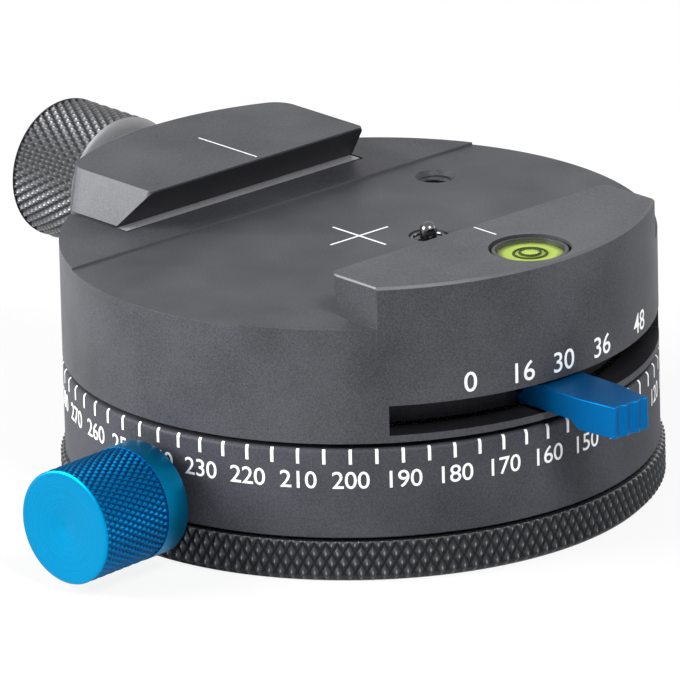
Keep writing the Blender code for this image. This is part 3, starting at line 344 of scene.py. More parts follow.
def turned_metal(name, color, roughness, metallic, variety=0.14):
    """Metal that was faced on a lathe: rings of unlike gloss and tone about the piece's own axis."""
    finish = Finish(name, color, roughness, metallic)
    ring = finish.lines("ring", 0.11 * MM)
    fine = finish.noise(0.2 * MM)
    finish.tones(color, 1 - variety, 1 + variety, finish.spread(0.7 * ring + 0.3 * fine, 0.35, 0.65))
    finish.set(Roughness=roughness - 0.08 + 0.16 * ring)
    finish.bump(0.8 * ring + 0.2 * fine, 0.004 * MM)
    return finish


def knurled(name, groove_shade, flank, crest, roughness, metallic):
    """Diamond knurling: painted shade darkens the grooves and a painted glint brightens the points."""
    finish = Finish(name, flank, roughness, metallic)
    height = finish.stored("crest")
    fine = finish.noise(0.15 * MM)
    # Share from the painted shade of the grooves out to the flank colour
    low = finish.spread(height, 0.0, 0.45)
    # Share of the painted glint on the points
    top = finish.spread(height + 0.2 * fine, 0.85, 1.1)
    finish.set(Base_Color=finish.blend(finish.blend(groove_shade, flank, low), crest, top))
    finish.set(Roughness=roughness + 0.1 - 0.15 * top)
    finish.bump(fine, 0.006 * MM)
    return finish


def plain_metal(name, color, roughness):
    """Machined steel, bronze or brass with small scratches of tone and gloss."""
    finish = Finish(name, color, roughness, 1.0)
    fine = finish.noise(0.25 * MM, 4.0)
    finish.tones(color, 0.85, 1.12, finish.spread(fine, 0.3, 0.7))
    finish.set(Roughness=roughness - 0.06 + 0.14 * fine)
    finish.bump(fine, 0.004 * MM)
    return finish


def moulded(name, color, roughness):
    """Plastic or rubber with a fine pebbled skin."""
    finish = Finish(name, color, roughness, 0.0)
    fine = finish.noise(0.2 * MM, 2.0)
    finish.tones(color, 0.8, 1.25, fine)
    finish.set(Roughness=roughness - 0.05 + 0.1 * fine)
    finish.bump(fine, 0.01 * MM)
    return finish


def white_paint():
    """Engraving filled with white paint, a little uneven."""
    finish = Finish("white_paint", (0.86, 0.86, 0.86), 0.5, 0.0)
    fine = finish.noise(0.12 * MM, 3.0)
    share = finish.spread(fine, 0.25, 0.6)
    finish.set(Base_Color=finish.blend((0.74, 0.75, 0.76), (0.93, 0.93, 0.93), share))
    finish.bump(fine, 0.004 * MM)
    return finish


def vial_liquid():
    """Yellow-green liquid, darker towards its wall by painted shade."""
    finish = Finish("vial_liquid", (0.42, 0.60, 0.02), 0.5, 0.0)
    depth = finish.stored("ring")
    cloud = finish.noise(1.2 * MM)
    # Painted shade: the colour darkens towards the cup's wall
    rim = finish.spread(depth + (0.5 * MM) * (cloud - 0.5), 2.6 * MM, 3.3 * MM)
    finish.set(Base_Color=finish.blend((0.36, 0.48, 0.05), (0.04, 0.06, 0.01), rim))
    finish.set(Roughness=0.45 + 0.1 * cloud)
    return finish


def clear_glass(name, tint, share):
    """Clear acrylic: mostly see-through, with a clean gloss and a faint clouding."""
    finish = Finish(name, tint, 0.04, 0.0)
    cloud = finish.noise(1.5 * MM)
    finish.set(Alpha=share + 0.06 * cloud, Roughness=0.03 + 0.04 * cloud)
    return finish


def merged(mesh, turn_out=False):
    """The mesh with its doubles merged and, if asked, slivers dissolved and faces turned outwards."""
    shape = bmesh.new()
    shape.from_mesh(mesh)
    bmesh.ops.remove_doubles(shape, verts=shape.verts, dist=0.002 * MM)
    if turn_out:
        bmesh.ops.dissolve_degenerate(shape, edges=shape.edges, dist=0.001 * MM)
        bmesh.ops.recalc_face_normals(shape, faces=shape.faces)
    shape.to_mesh(mesh)
    shape.free()
    return mesh


def skin(points, faces, **stored):
    """A closed mesh from whole arrays. stored numbers, one for each point, are kept under their names."""
    mesh = bpy.data.meshes.new("skin")
    mesh.from_pydata(points.reshape(-1, 3), [], faces)
    for name, values in stored.items():
        attribute = mesh.attributes.new(name, "FLOAT", "POINT")
        attribute.data.foreach_set("value", np.ascontiguousarray(values, np.float32).reshape(-1))
    return merged(mesh, True)


def ring_faces(rows, columns, closed):
    """Quads of a grid whose columns close round, and whose rows close round too if closed."""
    row = np.arange(rows if closed else rows - 1)[:, None]
    column = np.arange(columns)[None, :]
    below, above = row * columns, (row + 1) % rows * columns
    after = (column + 1) % columns
    return np.stack((below + column, below + after, above + after, above + column), -1).reshape(-1, 4)


def tube(radius, level, closed=True, aim=None, **stored):
    """Rings round the Z axis, moved by the matrix aim: radius and level have a row for each ring."""
    turn = np.linspace(0, 2 * np.pi, radius.shape[1], endpoint=False)
    points = np.stack((radius * np.cos(turn), radius * np.sin(turn), level + 0 * turn), -1)
    return skin(moved(points, aim), ring_faces(*radius.shape, closed), **stored)


def turned(profile, steps, aim=None, relief=0.0):
    """A turned body: radius plus relief at each height, one row for each profile point.

    A profile that ends where it starts makes a ring. Ends on the axis close to a pole. The surface keeps
    its radius as ring, and its relief, from 0 at the deepest point to 1, as crest.
    """
    profile = np.asarray(profile, float)
    closed = bool(np.allclose(profile[0], profile[-1]))
    if closed:
        profile = profile[:-1]
    relief = np.zeros((len(profile), steps)) + relief
    ring = profile[:, :1] + 0 * relief
    crest = 1 + relief / max(float(-relief.min()), 1e-9)
    return tube(ring + relief, profile[:, 1:], closed, aim, ring=ring, crest=crest)


def moved(points, matrix):
    """The points put through a 4 by 4 matrix."""
    if matrix is None:
        return points
    turn = np.array(matrix)
    return points @ turn[:3, :3].T + turn[:3, 3]


def eased(points, size, count=3):
    """The line with each inner corner cut to a curve, a quadratic one that starts and ends size away."""
    points = np.asarray(points, float)
    corner = points[1:-1]
    ends = []
    for other in (points[:-2], points[2:]):
        way = other - corner
        length = np.linalg.norm(way, axis=1, keepdims=True)
        ends.append(corner + way / length * np.minimum(size, 0.45 * length))
    t = np.linspace(0, 1, count)[None, :, None]
    curve = (1 - t) ** 2 * ends[0][:, None] + 2 * t * (1 - t) * corner[:, None] + t**2 * ends[1][:, None]
    return np.concatenate((points[:1], curve.reshape(-1, 2), points[-1:]))


def between(start, end, count):
    """Points from start to end in even steps, both ends included."""
    return np.linspace(start, end, count)


def knurl_rows(low, high, pitch):
    """Heights of a knurl's rows, CELLS of them to a pitch."""
    return between(low, high, int(round((high - low) / (pitch / CELLS))) + 1)


def diamonds(heights, steps, teeth, pitch, depth):
    """Relief of a diamond knurl: two crossed sets of V grooves, whose deeper one counts at each point.

    Along a groove the turn grows by one tooth for each pitch of height. The points keep a small flat.
    """
    turn = np.linspace(0, teeth, steps, endpoint=False)[None, :]
    rise = np.asarray(heights)[:, None] / pitch
    grooves = [np.abs(2 * np.mod(line, 1) - 1) for line in (turn + rise, turn - rise)]
    flat_share = 0.12
    return -depth * np.clip((np.maximum(*grooves) - flat_share) / (1 - flat_share), 0, 1)


def loft(sections, matrix=None):
    """A closed skin through outlines that each have their height."""
    rows = [np.c_[outline, np.full(len(outline), height)] for outline, height in sections]
    count = len(rows[0])
    faces = ring_faces(len(rows), count, False).tolist()
    caps = [list(range(count))[::-1], list(range(count * (len(rows) - 1), count * len(rows)))]
    return skin(moved(np.concatenate(rows), matrix), faces + caps)


def prism(outline, low, high, matrix=None):
    """A flat outline carried from height low to height high."""
    return loft([(outline, low), (outline, high)], matrix)


def box(low, high):
    """A block between two corners."""
    (x0, y0, z0), (x1, y1, z1) = low, high
    return prism([(x0, y0), (x1, y0), (x1, y1), (x0, y1)], z0, z1)


def rod(radius, low, high, steps, aim=None):
    return turned([(0, low), (radius, low), (radius, high), (0, high)], steps, aim)


def hoop(radius, wire, height, steps, aim):
    """A ring of round wire about the axis."""
    loop = between(0, 2 * math.pi, 9)
    return turned(np.c_[radius + wire * np.cos(loop), height + wire * np.sin(loop)], steps, aim)


def standing(point, direction):
    """The matrix that puts the Z axis along a direction, from a point."""
    turn = Vector(direction).to_track_quat("Z", "Y").to_matrix().to_4x4()
    return Matrix.Translation(point) @ turn


def over(centre):
    """The matrix that puts the Z axis upright over a point in X and Y."""
    return Matrix.Translation((*centre, 0))


def clamp_line(x=0):
    """The matrix that lays the Z axis along +Y at the clamp screw's height."""
    return standing((x, 0, CLAMP_Z), (0, 1, 0))


def lock_line():
    """The matrix that lays the Z axis outwards along the lock's stud."""
    return standing((0, 0, LOCK_Z), (math.cos(LOCK_ANGLE), math.sin(LOCK_ANGLE), 0))


def arc(radius, start, end, count):
    """Points on an arc about Z, from angle start to angle end."""
    turn = np.linspace(start, end, count)
    return np.stack((radius * np.cos(turn), radius * np.sin(turn)), -1)


def placed(name, data):
    """A new object in the scene."""
    obj = bpy.data.objects.new(name, data)
    bpy.context.scene.collection.objects.link(obj)
    return obj


def worked_out(obj):
    """A mesh of the object as its modifiers make it."""
    bpy.context.view_layer.update()
    return bpy.data.meshes.new_from_object(obj.evaluated_get(bpy.context.evaluated_depsgraph_get()))


def carved(mesh, tools, operation="DIFFERENCE"):
    """The mesh with each tool's volume cut out, or with only what lies in it where it intersects."""
    work = placed("work", mesh)
    helpers = [placed("tool", tool) for tool in tools]
    for helper in helpers:
        modifier = work.modifiers.new("Cut", "BOOLEAN")
        modifier.operation = operation
        modifier.object = helper
        modifier.solver = "MANIFOLD"
    result = worked_out(work)
    for obj in (work, *helpers):
        bpy.data.objects.remove(obj)
    return merged(result)


def piece(name, mesh, finish, slot, body, *nodes, edge=0.0, sharp=35, edge_glint=None):
    """A finished piece: smooth shading, an optional bevel, its material, its body and the nodes it replaces.

    The optional second finish goes on the bevel: a lighter copy of the grey, a painted highlight along the
    edges.
    """
    mesh.name = name
    mesh.materials.clear()
    mesh.materials.append(finish.material)
    if edge_glint:
        mesh.materials.append(edge_glint.material)
    mesh.shade_smooth()
    mesh.set_sharp_from_angle(angle=math.radians(sharp))
    obj = placed(name, mesh)
    if edge:
        bevel = obj.modifiers.new("Edges", "BEVEL")
        bevel.width = edge
        bevel.segments = 2
        bevel.limit_method = "ANGLE"
        bevel.angle_limit = math.radians(50)
        bevel.use_clamp_overlap = True
        # The bevel takes the second finish, a painted highlight
        bevel.material = 1 if edge_glint else -1
        obj.modifiers.new("Normals", "WEIGHTED_NORMAL").keep_sharp = True
    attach(obj, body)
    if nodes:
        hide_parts(*nodes)
    return obj


def dress(finish, *nodes):
    """Gives CAD nodes that stay in view a finish of their own."""
    for name in nodes:
        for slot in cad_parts[name].material_slots:
            slot.material = finish.material


def finish_faces(obj, finish, test):
    """A finish for the faces whose centres, as an array of points, pass the test."""
    mesh = obj.data
    number = mesh.materials.find(finish.material.name)
    if number < 0:
        number = len(mesh.materials)
        mesh.materials.append(finish.material)
    centres = np.empty(len(mesh.polygons) * 3, np.float32)
    numbers = np.empty(len(mesh.polygons), np.int32)
    mesh.polygons.foreach_get("center", centres)
    mesh.polygons.foreach_get("material_index", numbers)
    numbers[test(centres.reshape(-1, 3))] = number
    mesh.polygons.foreach_set("material_index", numbers)


def near(at, axis, level, room=NEAR):
    """Which points lie within room of a level along one axis."""
    return np.abs(at[:, axis] - level) < room


def from_axis(at):
    """How far each point is from the Z axis."""
    return np.hypot(at[:, 0], at[:, 1])


# Finishes
GREY = satin("anodised_grey", (0.057, 0.058, 0.065), 0.48, 0.1)
# A lighter copy of the anodised grey: painted highlight on bevels, chamfers and the channel's step
GREY_GLINT = satin("anodised_grey_painted_glint", (0.115, 0.115, 0.125), 0.38, 0.3, variety=0.1)
# A lighter copy of the grey: painted light on the sliding jaw's ends
LIT_END_GREY = satin("end_painted_light", (0.115, 0.116, 0.125), 0.44, 0.1, variety=0.2)
# A lighter copy of the grey: painted light on the fixed jaw's top
LIT_TOP_GREY = satin("top_painted_light", (0.074, 0.075, 0.082), 0.46, 0.1)
# Painted highlight for the fixed jaw's end chamfers
END_CHAMFER_GLINT = satin("end_edge_painted_glint", (0.20, 0.20, 0.21), 0.4, 0.1, variety=0.1)
# A much lighter copy of the grey: painted light on the sliding jaw's ledge under its overhang
LIT_LEDGE = satin("ledge_painted_light", (0.36, 0.36, 0.38), 0.4, 0.3, variety=0.15)
DRUM_GREY = satin("anodised_drum_grey", (0.050, 0.051, 0.060), 0.48, 0.1)
# Black anodising of the selector disc; on the rotor's slot faces the same black is painted shade
BLACK_AND_SLOT_SHADE = satin("anodised_black", (0.018, 0.018, 0.021), 0.45, 0.4)
FOOT_BLACK = turned_metal("faced_black", (0.030, 0.031, 0.034), 0.4, 0.7)
# The knurls' dark groove colours are painted shade and their light crest colours painted glints; the same
# pale grey also colours the clamp knob's turned faces
COLLAR_GREY_AND_CREST_GLINT = (0.24, 0.24, 0.25)
RING_KNURL = knurled("ring_knurl", (0.006, 0.006, 0.007), (0.042, 0.044, 0.048), COLLAR_GREY_AND_CREST_GLINT, 0.34, 0.8)
CLAMP_KNURL = knurled("clamp_knurl", (0.012, 0.012, 0.013), (0.066, 0.067, 0.072), COLLAR_GREY_AND_CREST_GLINT, 0.34, 0.6)
CLAMP_FACE = turned_metal("clamp_face", COLLAR_GREY_AND_CREST_GLINT, 0.5, 0.3)
BLUE_KNURL = knurled("blue_knurl", (0.0, 0.055, 0.175), (0.0, 0.115, 0.30), (0.01, 0.20, 0.43), 0.34, 1.0)
BLUE_FACE = turned_metal("blue_face", (0.0, 0.225, 0.45), 0.38, 1.0, variety=0.12)
BLUE = satin("anodised_blue", (0.0, 0.112, 0.32), 0.44, 0.8, variety=0.08)
STEEL = plain_metal("steel", (0.56, 0.56, 0.57), 0.26)
# Dark steel; on the pin's round chrome head the dark colour is a painted reflection of a dark surrounding
DARK_STEEL_AND_DARK_REFLECTION = plain_metal("dark_steel_and_dark_reflection", (0.12, 0.12, 0.125), 0.20)
BRONZE = plain_metal("bronze", (0.45, 0.29, 0.13), 0.36)
PLASTIC = moulded("black_plastic", (0.012, 0.012, 0.013), 0.35)
VIAL_LINE = satin("vial_line", (0.006, 0.018, 0.002), 0.6, 0.0, depth=0.002 * MM)
RUBBER = moulded("brake_rubber", (0.03, 0.03, 0.03), 0.8)
WHITE = white_paint()
LIQUID = vial_liquid()
GLASS = clear_glass("vial_glass", (0.40, 0.50, 0.15), 0.01)
BUBBLE = clear_glass("vial_bubble", (0.60, 0.80, 0.10), 0.45)


def screw_places():
    """X and Y of the four screws in the foot."""
    return [SCREW_CIRCLE * np.array((math.cos(a), math.sin(a))) for a in np.radians([45, 135, 225, 315])]


def make_foot_ring():
    """The foot plate: a faced underside, a knurled rim and a hub, with countersinks for its four screws."""
    rim, low, high, bore = FLANGE_RADIUS, FLANGE_BOTTOM, FLANGE_TOP, BUSH_RADIUS + FIT
    chamfer, rim_edge, shoulder, face_rings = 0.2 * MM, 0.15 * MM, 0.3 * MM, 24
    knurl = knurl_rows(low + FOOT_BEVEL, high - rim_edge, RING_PITCH)
    face = between(bore + chamfer, rim - FOOT_BEVEL - 0.1 * MM, face_rings)
    profile = np.concatenate((
        [(bore, low + chamfer)], np.c_[face, np.full(face_rings, low)],
        np.c_[np.full(len(knurl), rim), knurl],
        [(rim - shoulder, high), (FOOT_HUB_RADIUS, high), (FOOT_HUB_RADIUS, FOOT_HUB_TOP),
         (bore, FOOT_HUB_TOP), (bore, low + chamfer)]))
    steps, first = RING_TEETH * CELLS, 1 + face_rings
    relief = np.zeros((len(profile) - 1, steps))
    relief[first:first + len(knurl)] = diamonds(knurl, steps, RING_TEETH, RING_PITCH, RING_DEPTH)
    head, shank, head_sunk, head_end = SCREW_HEAD + SCREW_ROOM, SCREW_SHANK + SCREW_ROOM, 0.3 * MM, 1.6 * MM
    seat = [(0, low - OVERRUN), (head, low - OVERRUN), (head, low + head_sunk), (shank, low + head_end),
            (shank, high + OVERRUN), (0, high + OVERRUN)]
    seats = [turned(seat, 48, over(place)) for place in screw_places()]
    mesh = carved(turned(profile, steps, relief=relief), seats)
    ring = piece("foot_ring", mesh, RING_KNURL, "anodised_black", "base", "base_plate", sharp=50)
    finish_faces(ring, FOOT_BLACK, lambda at: from_axis(at) <= rim - FOOT_BEVEL - ROOM)


def drum_edge():
    """Radius and height of the degree drum's rounded top edge, from the side up to the top face."""
    turn = between(0, math.pi / 2, 7)
    size = 0.5 * MM
    return np.c_[DRUM_RADIUS - size * (1 - np.cos(turn)), SCALE_TOP - size * (1 - np.sin(turn))]


def make_degree_drum():
    """The fixed drum below the rotor, hollow, with a web for the bearing and a hole for the lock's stud."""
    foot = 0.12 * MM
    outer = np.concatenate(([(DRUM_RADIUS - foot, SCALE_BOTTOM), (DRUM_RADIUS, SCALE_BOTTOM + foot)],
                            drum_edge()))
    inner = [(CAVITY_RADIUS, SCALE_TOP), (CAVITY_RADIUS, WEB_TOP), (BEARING_RADIUS + FIT, WEB_TOP),
             (BEARING_RADIUS + FIT, WEB_BOTTOM), (DRUM_INNER, WEB_BOTTOM), (DRUM_INNER, SCALE_BOTTOM)]
    mesh = turned(np.concatenate((outer, inner, outer[:1])), BODY_STEPS)
    hole = rod(STUD_HOLE, DRUM_INNER - OVERRUN, DRUM_RADIUS + OVERRUN, 32, lock_line())
    piece("degree_drum", carved(mesh, [hole]), DRUM_GREY, "anodised_grey", "base", "scale_drum")


def bars(name, sections, body):
    """White bars: sections holds, for each bar, rows of four corners that are joined row to row."""
    count, rows = sections.shape[:2]
    start = (np.arange(count) * rows * 4)[:, None, None]
    row = (np.arange(rows - 1) * 4)[None, :, None]
    corner = np.arange(4)[None, None, :]
    after = (corner + 1) % 4
    at = start + row
    sides = np.stack((at + corner, at + after, at + after + 4, at + corner + 4), -1).reshape(-1, 4)
    ends = (start[:, :, 0] + np.array([[0, rows * 4 - 4]]))[..., None] + np.arange(4)
    return piece(name, skin(sections, np.concatenate((sides, ends.reshape(-1, 4)))), WHITE,
                 "anodised_grey", body)


def flat_bar(start, end, height, half=LINE_HALF_WIDTH):
    """One bar on a level face, from start to end in X and Y."""
    start, end = np.asarray(start), np.asarray(end)
    along = (end - start) / np.linalg.norm(end - start)
    side = np.array((-along[1], along[0])) * half
    return np.array([[(*(at + sign * side), height + lift) for sign, lift in BAR_CORNERS]
                     for at in (start, end)])


def make_ticks():
    """A tick every five degrees: up the drum's side and over its rounded edge."""
    edge = drum_edge()[:5]
    line = np.concatenate(([(DRUM_RADIUS, TICK_BOTTOM)], edge))
    way = np.gradient(line, axis=0)
    out = np.c_[way[:, 1], -way[:, 0]] / np.linalg.norm(way, axis=1, keepdims=True)
    count = int(round(2 * math.pi / TICK_STEP))
    turn = SCALE_ZERO - TICK_STEP * np.arange(count)
    half = TICK_HALF_WIDTH / DRUM_RADIUS
    corners = []
    for sign, lift in BAR_CORNERS:
        radius, height = (line + lift * out).T
        angle = turn[:, None] + sign * half
        corners.append(np.stack((radius * np.cos(angle), radius * np.sin(angle), height + 0 * angle), -1))
    bars("scale_ticks", np.stack(corners, 2), "base")


def glyph(character):
    """Points and faces of one figure as a closed shell, with X from the middle of its width.

    The third number of a point is -0.5 at the back and 0.5 at the front.
    """
    curve = bpy.data.curves.new("figure", "FONT")
    curve.body = character
    curve.align_x = "CENTER"
    curve.extrude = 0.5
    curve.offset = FIGURE_BOLDNESS
    curve.resolution_u = 4
    obj = placed("figure", curve)
    mesh = worked_out(obj)
    bpy.data.objects.remove(obj)
    points = np.empty(len(mesh.vertices) * 3, np.float32)
    mesh.vertices.foreach_get("co", points)
    points = points.reshape(-1, 3).astype(float)
    faces = [list(face.vertices) for face in mesh.polygons]
    return points, faces


def make_figures(name, labels, height, advance, base, body):
    """Figures wrapped on the drum: across becomes turn, up becomes height, and the front stands proud."""
    glyphs = {c: glyph(c) for c in sorted(set("".join(text for text, _ in labels)))}
    zero = glyph("0")[0]
    tall, wide = np.ptp(zero[:, 1]), np.ptp(zero[:, 0])
    foot = zero[:, 1].min()
    all_points, all_faces, count = [], [], 0
    for text, angle in labels:
        for place, character in enumerate(text):
            points, faces = glyphs[character]
            middle = place - (len(text) - 1) / 2
            across = (points[:, 0] / wide * FIGURE_WIDTH_SHARE + middle) * advance
            turn = angle + across / DRUM_RADIUS
            radius = DRUM_RADIUS - MARK_SINK + (points[:, 2] + 0.5) * (MARK_SINK + MARK_PROUD)
            up = base + (points[:, 1] - foot) / tall * height
            all_points.append(np.c_[radius * np.cos(turn), radius * np.sin(turn), up])
            all_faces += [[i + count for i in face] for face in faces]
            count += len(points)
    piece(name, skin(np.concatenate(all_points), all_faces), WHITE, "anodised_grey", body)


def channel_outline():
    """Y and Z of what is open above the floor, the lands and the fixed jaw's undercut face."""
    top, far = JAW_TOP + OVERRUN, DRUM_RADIUS + OVERRUN
    return [(FIXED_LIP, top), (FIXED_LIP, JAW_TOP - LIP_HEIGHT), (FIXED_FOOT, LAND), (-LOWERED_HALF, LAND),
            (-LOWERED_HALF, 0), (LOWERED_HALF, 0), (LOWERED_HALF, LAND), (far, LAND), (far, top)]


def make_rotor():
    """The rotor: turned inside and out, then the channel, jaw ends, slot, pocket and bores are cut."""
    bore, seat = SPINDLE_RADIUS + FIT, HUB_RADIUS - CLIP_SEAT_DEPTH
    outer = [(0, JAW_TOP), (DRUM_RADIUS - EDGE, JAW_TOP), (DRUM_RADIUS, JAW_TOP - EDGE),
             (DRUM_RADIUS, ROTOR_BOTTOM), (CAVITY_RADIUS, ROTOR_BOTTOM), (CAVITY_RADIUS, CAVITY_TOP)]
    hub = [(HUB_RADIUS, CAVITY_TOP), (HUB_RADIUS, DISC_BOTTOM), (seat, DISC_BOTTOM), (seat, CLIP_LOW),
           (HUB_RADIUS, CLIP_LOW), (HUB_RADIUS, HUB_BOTTOM), (bore, HUB_BOTTOM),
           (bore, SPINDLE_TOP + FIT), (0, SPINDLE_TOP + FIT)]
    far, top = DRUM_RADIUS + OVERRUN, JAW_TOP + OVERRUN
    tools = [prism(channel_outline(), -far, far, SIDEWAYS)]
    inset = FIXED_HALF - FIXED_CORNER
    corner = arc(FIXED_CORNER, 0, math.pi / 2, 12) + (inset, FIXED_LIP - FIXED_CORNER)
    end = np.concatenate(([(FIXED_HALF, -far)], corner, [(inset, far), (far, far), (far, -far)]))
    tools += [prism(end * (side, 1), LAND, top) for side in (-1, 1)]
    slope = np.array([(FIXED_HALF - END_CHAMFER - OVERRUN, top),
                      (FIXED_HALF + OVERRUN, JAW_TOP - END_CHAMFER - OVERRUN), (FIXED_HALF + OVERRUN, top)])
    tools += [prism(slope * (side, 1), 0, far, UPRIGHT) for side in (-1, 1)]
    window = np.concatenate((arc(far, SLOT_START, SLOT_END, 90),
                             arc(CAVITY_RADIUS - OVERRUN, SLOT_END, SLOT_START, 90)))
    tools.append(prism(window, SLOT_BOTTOM, SLOT_TOP))
    tools.append(box((-POCKET_HALF, POCKET_FRONT, POCKET_FLOOR), (POCKET_HALF, far, top)))
    tools.append(box((GROOVE_NEAR, -GROOVE_HALF, CAVITY_TOP - FIT), (GROOVE_FAR, GROOVE_HALF, GROOVE_TOP)))
    tools.append(rod(CLAMP_SCREW_RADIUS + FIT / 3, POCKET_FRONT - CLAMP_BITE, POCKET_FRONT + OVERRUN, 32,
                     clamp_line()))
    tools += [rod(GUIDE_RADIUS + FIT / 3, POCKET_FRONT - GUIDE_BITE, POCKET_FRONT + OVERRUN, 24,
                  clamp_line(x)) for x in (-GUIDE_X, GUIDE_X)]
    mouth, wall = TAP_RADIUS + TAP_MOUTH, TAP_RADIUS + 0.1 * MM
    tap = [(0, OVERRUN), (mouth, OVERRUN), (mouth, 0), (wall, -TAP_MOUTH), (wall, -TAP_DEPTH),
           (0, -TAP_DEPTH)]
    tools.append(turned(tap, 48, over(TAP_CENTRE)))
    tools.append(rod(PIN_WELL_RADIUS, -PIN_WELL_DEPTH, OVERRUN, 48, over(PIN_CENTRE)))
    tools.append(rod(LEVEL_RECESS, JAW_TOP - LEVEL_DEPTH, top, 96, over(LEVEL_CENTRE)))
    shell = piece("rotor_shell", carved(turned(outer + hub, BODY_STEPS), tools), GREY, "anodised_grey",
                  "rotor", "rotor_body", edge=FINE_EDGE, edge_glint=GREY_GLINT)
    middle, half = (SLOT_BOTTOM + SLOT_TOP) / 2, (SLOT_TOP - SLOT_BOTTOM) / 2
    # Painted highlight: the lighter grey on the outer top chamfer and on the step riser where the floor meets
    # the land
    finish_faces(shell, GREY_GLINT, lambda at: near(at, 2, JAW_TOP - EDGE / 2)
                 & (from_axis(at) > DRUM_RADIUS - EDGE))
    finish_faces(shell, GREY_GLINT, lambda at: near(at, 1, LOWERED_HALF) & near(at, 2, LAND / 2, 2 * ROOM))
    # Painted shade: the slot's walls and floor take the black, so the slot reads dark
    finish_faces(shell, BLACK_AND_SLOT_SHADE, lambda at: near(at, 2, middle, half + ROOM))
    # Painted highlight: the light grey on the chamfers at the top of the fixed jaw's ends
    finish_faces(shell, END_CHAMFER_GLINT, lambda at: near(at, 2, JAW_TOP - END_CHAMFER / 2, ROOM)
                 & near(np.abs(at), 0, FIXED_HALF - END_CHAMFER / 2, ROOM))
    # Painted light: the fixed jaw's top takes a lighter copy of the grey
    finish_faces(shell, LIT_TOP_GREY, lambda at: (at[:, 2] > JAW_TOP - NEAR / 2) & (at[:, 1] < 0))


def thread_wave(height, pitch, steps):
    """A thread's flanks: 1 and 0 in turn, once a pitch along the height and once a turn round the axis."""
    turn = np.linspace(0, 1, steps, endpoint=False)
    return np.abs(2 * np.mod(height / pitch - turn, 1) - 1)


def make_tapped_thread():
    """The small hole's thread: a sleeve in the wall whose inside is a screw."""
    low, high = -TAP_DEPTH + 0.2 * MM, -TAP_MOUTH
    crest, depth, wall = TAP_RADIUS - 0.12 * MM, 0.3 * MM, TAP_RADIUS + 0.25 * MM
    height = between(low, high, 64)[:, None]
    inner = crest + depth * thread_wave(height, TAP_PITCH, 48)
    radius = np.concatenate((inner, np.full((2, inner.shape[1]), wall)))
    sleeve = tube(radius, np.concatenate((height, [[high], [low]])), aim=over(TAP_CENTRE))
    piece("tapped_thread", sleeve, GREY, "anodised_grey", "rotor")


def jaw_plan(half, inset):
    """The sliding jaw from above: the drum's round at its back, flat ends and rounded corners."""
    lip, back, radius = SLIDING_LIP_CORNER, SLIDING_BACK_CORNER, DRUM_RADIUS - inset
    across = half - back
    reach = math.sqrt((radius - back) ** 2 - across ** 2)
    meet = math.atan2(reach, across)
    right = np.concatenate((
        arc(lip, -math.pi / 2, 0, 6) + (half - lip, SLIDING_LIP + lip),
        arc(back, 0, meet, 10) + (across, reach + JAW_OPEN),
        arc(radius, meet, math.pi / 2, 40)[1:] + (0, JAW_OPEN)))
    return np.concatenate((right, right[-2::-1] * (-1, 1)))


def make_sliding_jaw():
    """The sliding jaw: its side profile, kept inside an outline with sloping ends and a round back."""
    top, far = JAW_TOP + OVERRUN, DRUM_RADIUS + JAW_OPEN + OVERRUN
    side = [(SLIDING_LIP, top), (SLIDING_LIP, JAW_TOP - SLIDING_LIP_FLAT), (SLIDING_FOOT, LAND),
            (SLIDING_BASE_FRONT, LAND), (SLIDING_BASE_FRONT, SLIDING_BASE_BOTTOM),
            (far, SLIDING_BASE_BOTTOM), (far, top)]
    bound = loft([(jaw_plan(SLIDING_BASE_HALF, 0), SLIDING_BASE_BOTTOM - OVERRUN),
                  (jaw_plan(SLIDING_BASE_HALF, 0), LAND), (jaw_plan(SLIDING_FOOT_HALF, 0), LAND + EDGE),
                  (jaw_plan(SLIDING_TOP_HALF, 0), JAW_TOP)])
    mesh = carved(prism(side, -POCKET_HALF, POCKET_HALF, SIDEWAYS), [bound], "INTERSECT")
    base = SLIDING_BASE_FRONT - OVERRUN
    guide, pin_end = GUIDE_RADIUS + FIT, POCKET_FRONT + GUIDE_REACH
    spring, spring_end = SPRING_ROOM_RADIUS, SLIDING_BASE_FRONT + SPRING_ROOM_LENGTH
    stepped = [(0, pin_end), (guide, pin_end), (guide, spring_end), (spring, spring_end), (spring, base),
               (0, base)]
    tools = [rod(CLAMP_SCREW_RADIUS + FIT, base, far, 32, clamp_line()),
             rod(WASHER_RADIUS + FIT, WASHER_SEAT_Y, far, 64, clamp_line())]
    tools += [turned(stepped, 32, clamp_line(x)) for x in (-GUIDE_X, GUIDE_X)]
    jaw = piece("sliding_jaw", carved(mesh, tools), GREY, "anodised_grey", "moving_jaw", "moving_jaw",
                edge=JAW_EDGE, edge_glint=GREY_GLINT)
    # Painted light: the ledge under the jaw's overhang takes a much lighter grey
    finish_faces(jaw, LIT_LEDGE, lambda at: near(at, 2, LAND) & (at[:, 1] < SLIDING_FOOT))
    # Painted light: the jaw's end faces take a lighter copy of the grey
    finish_faces(jaw, LIT_END_GREY, lambda at: (np.abs(at[:, 0]) > SLIDING_END) & (at[:, 2] > LAND + 1.5 * EDGE))


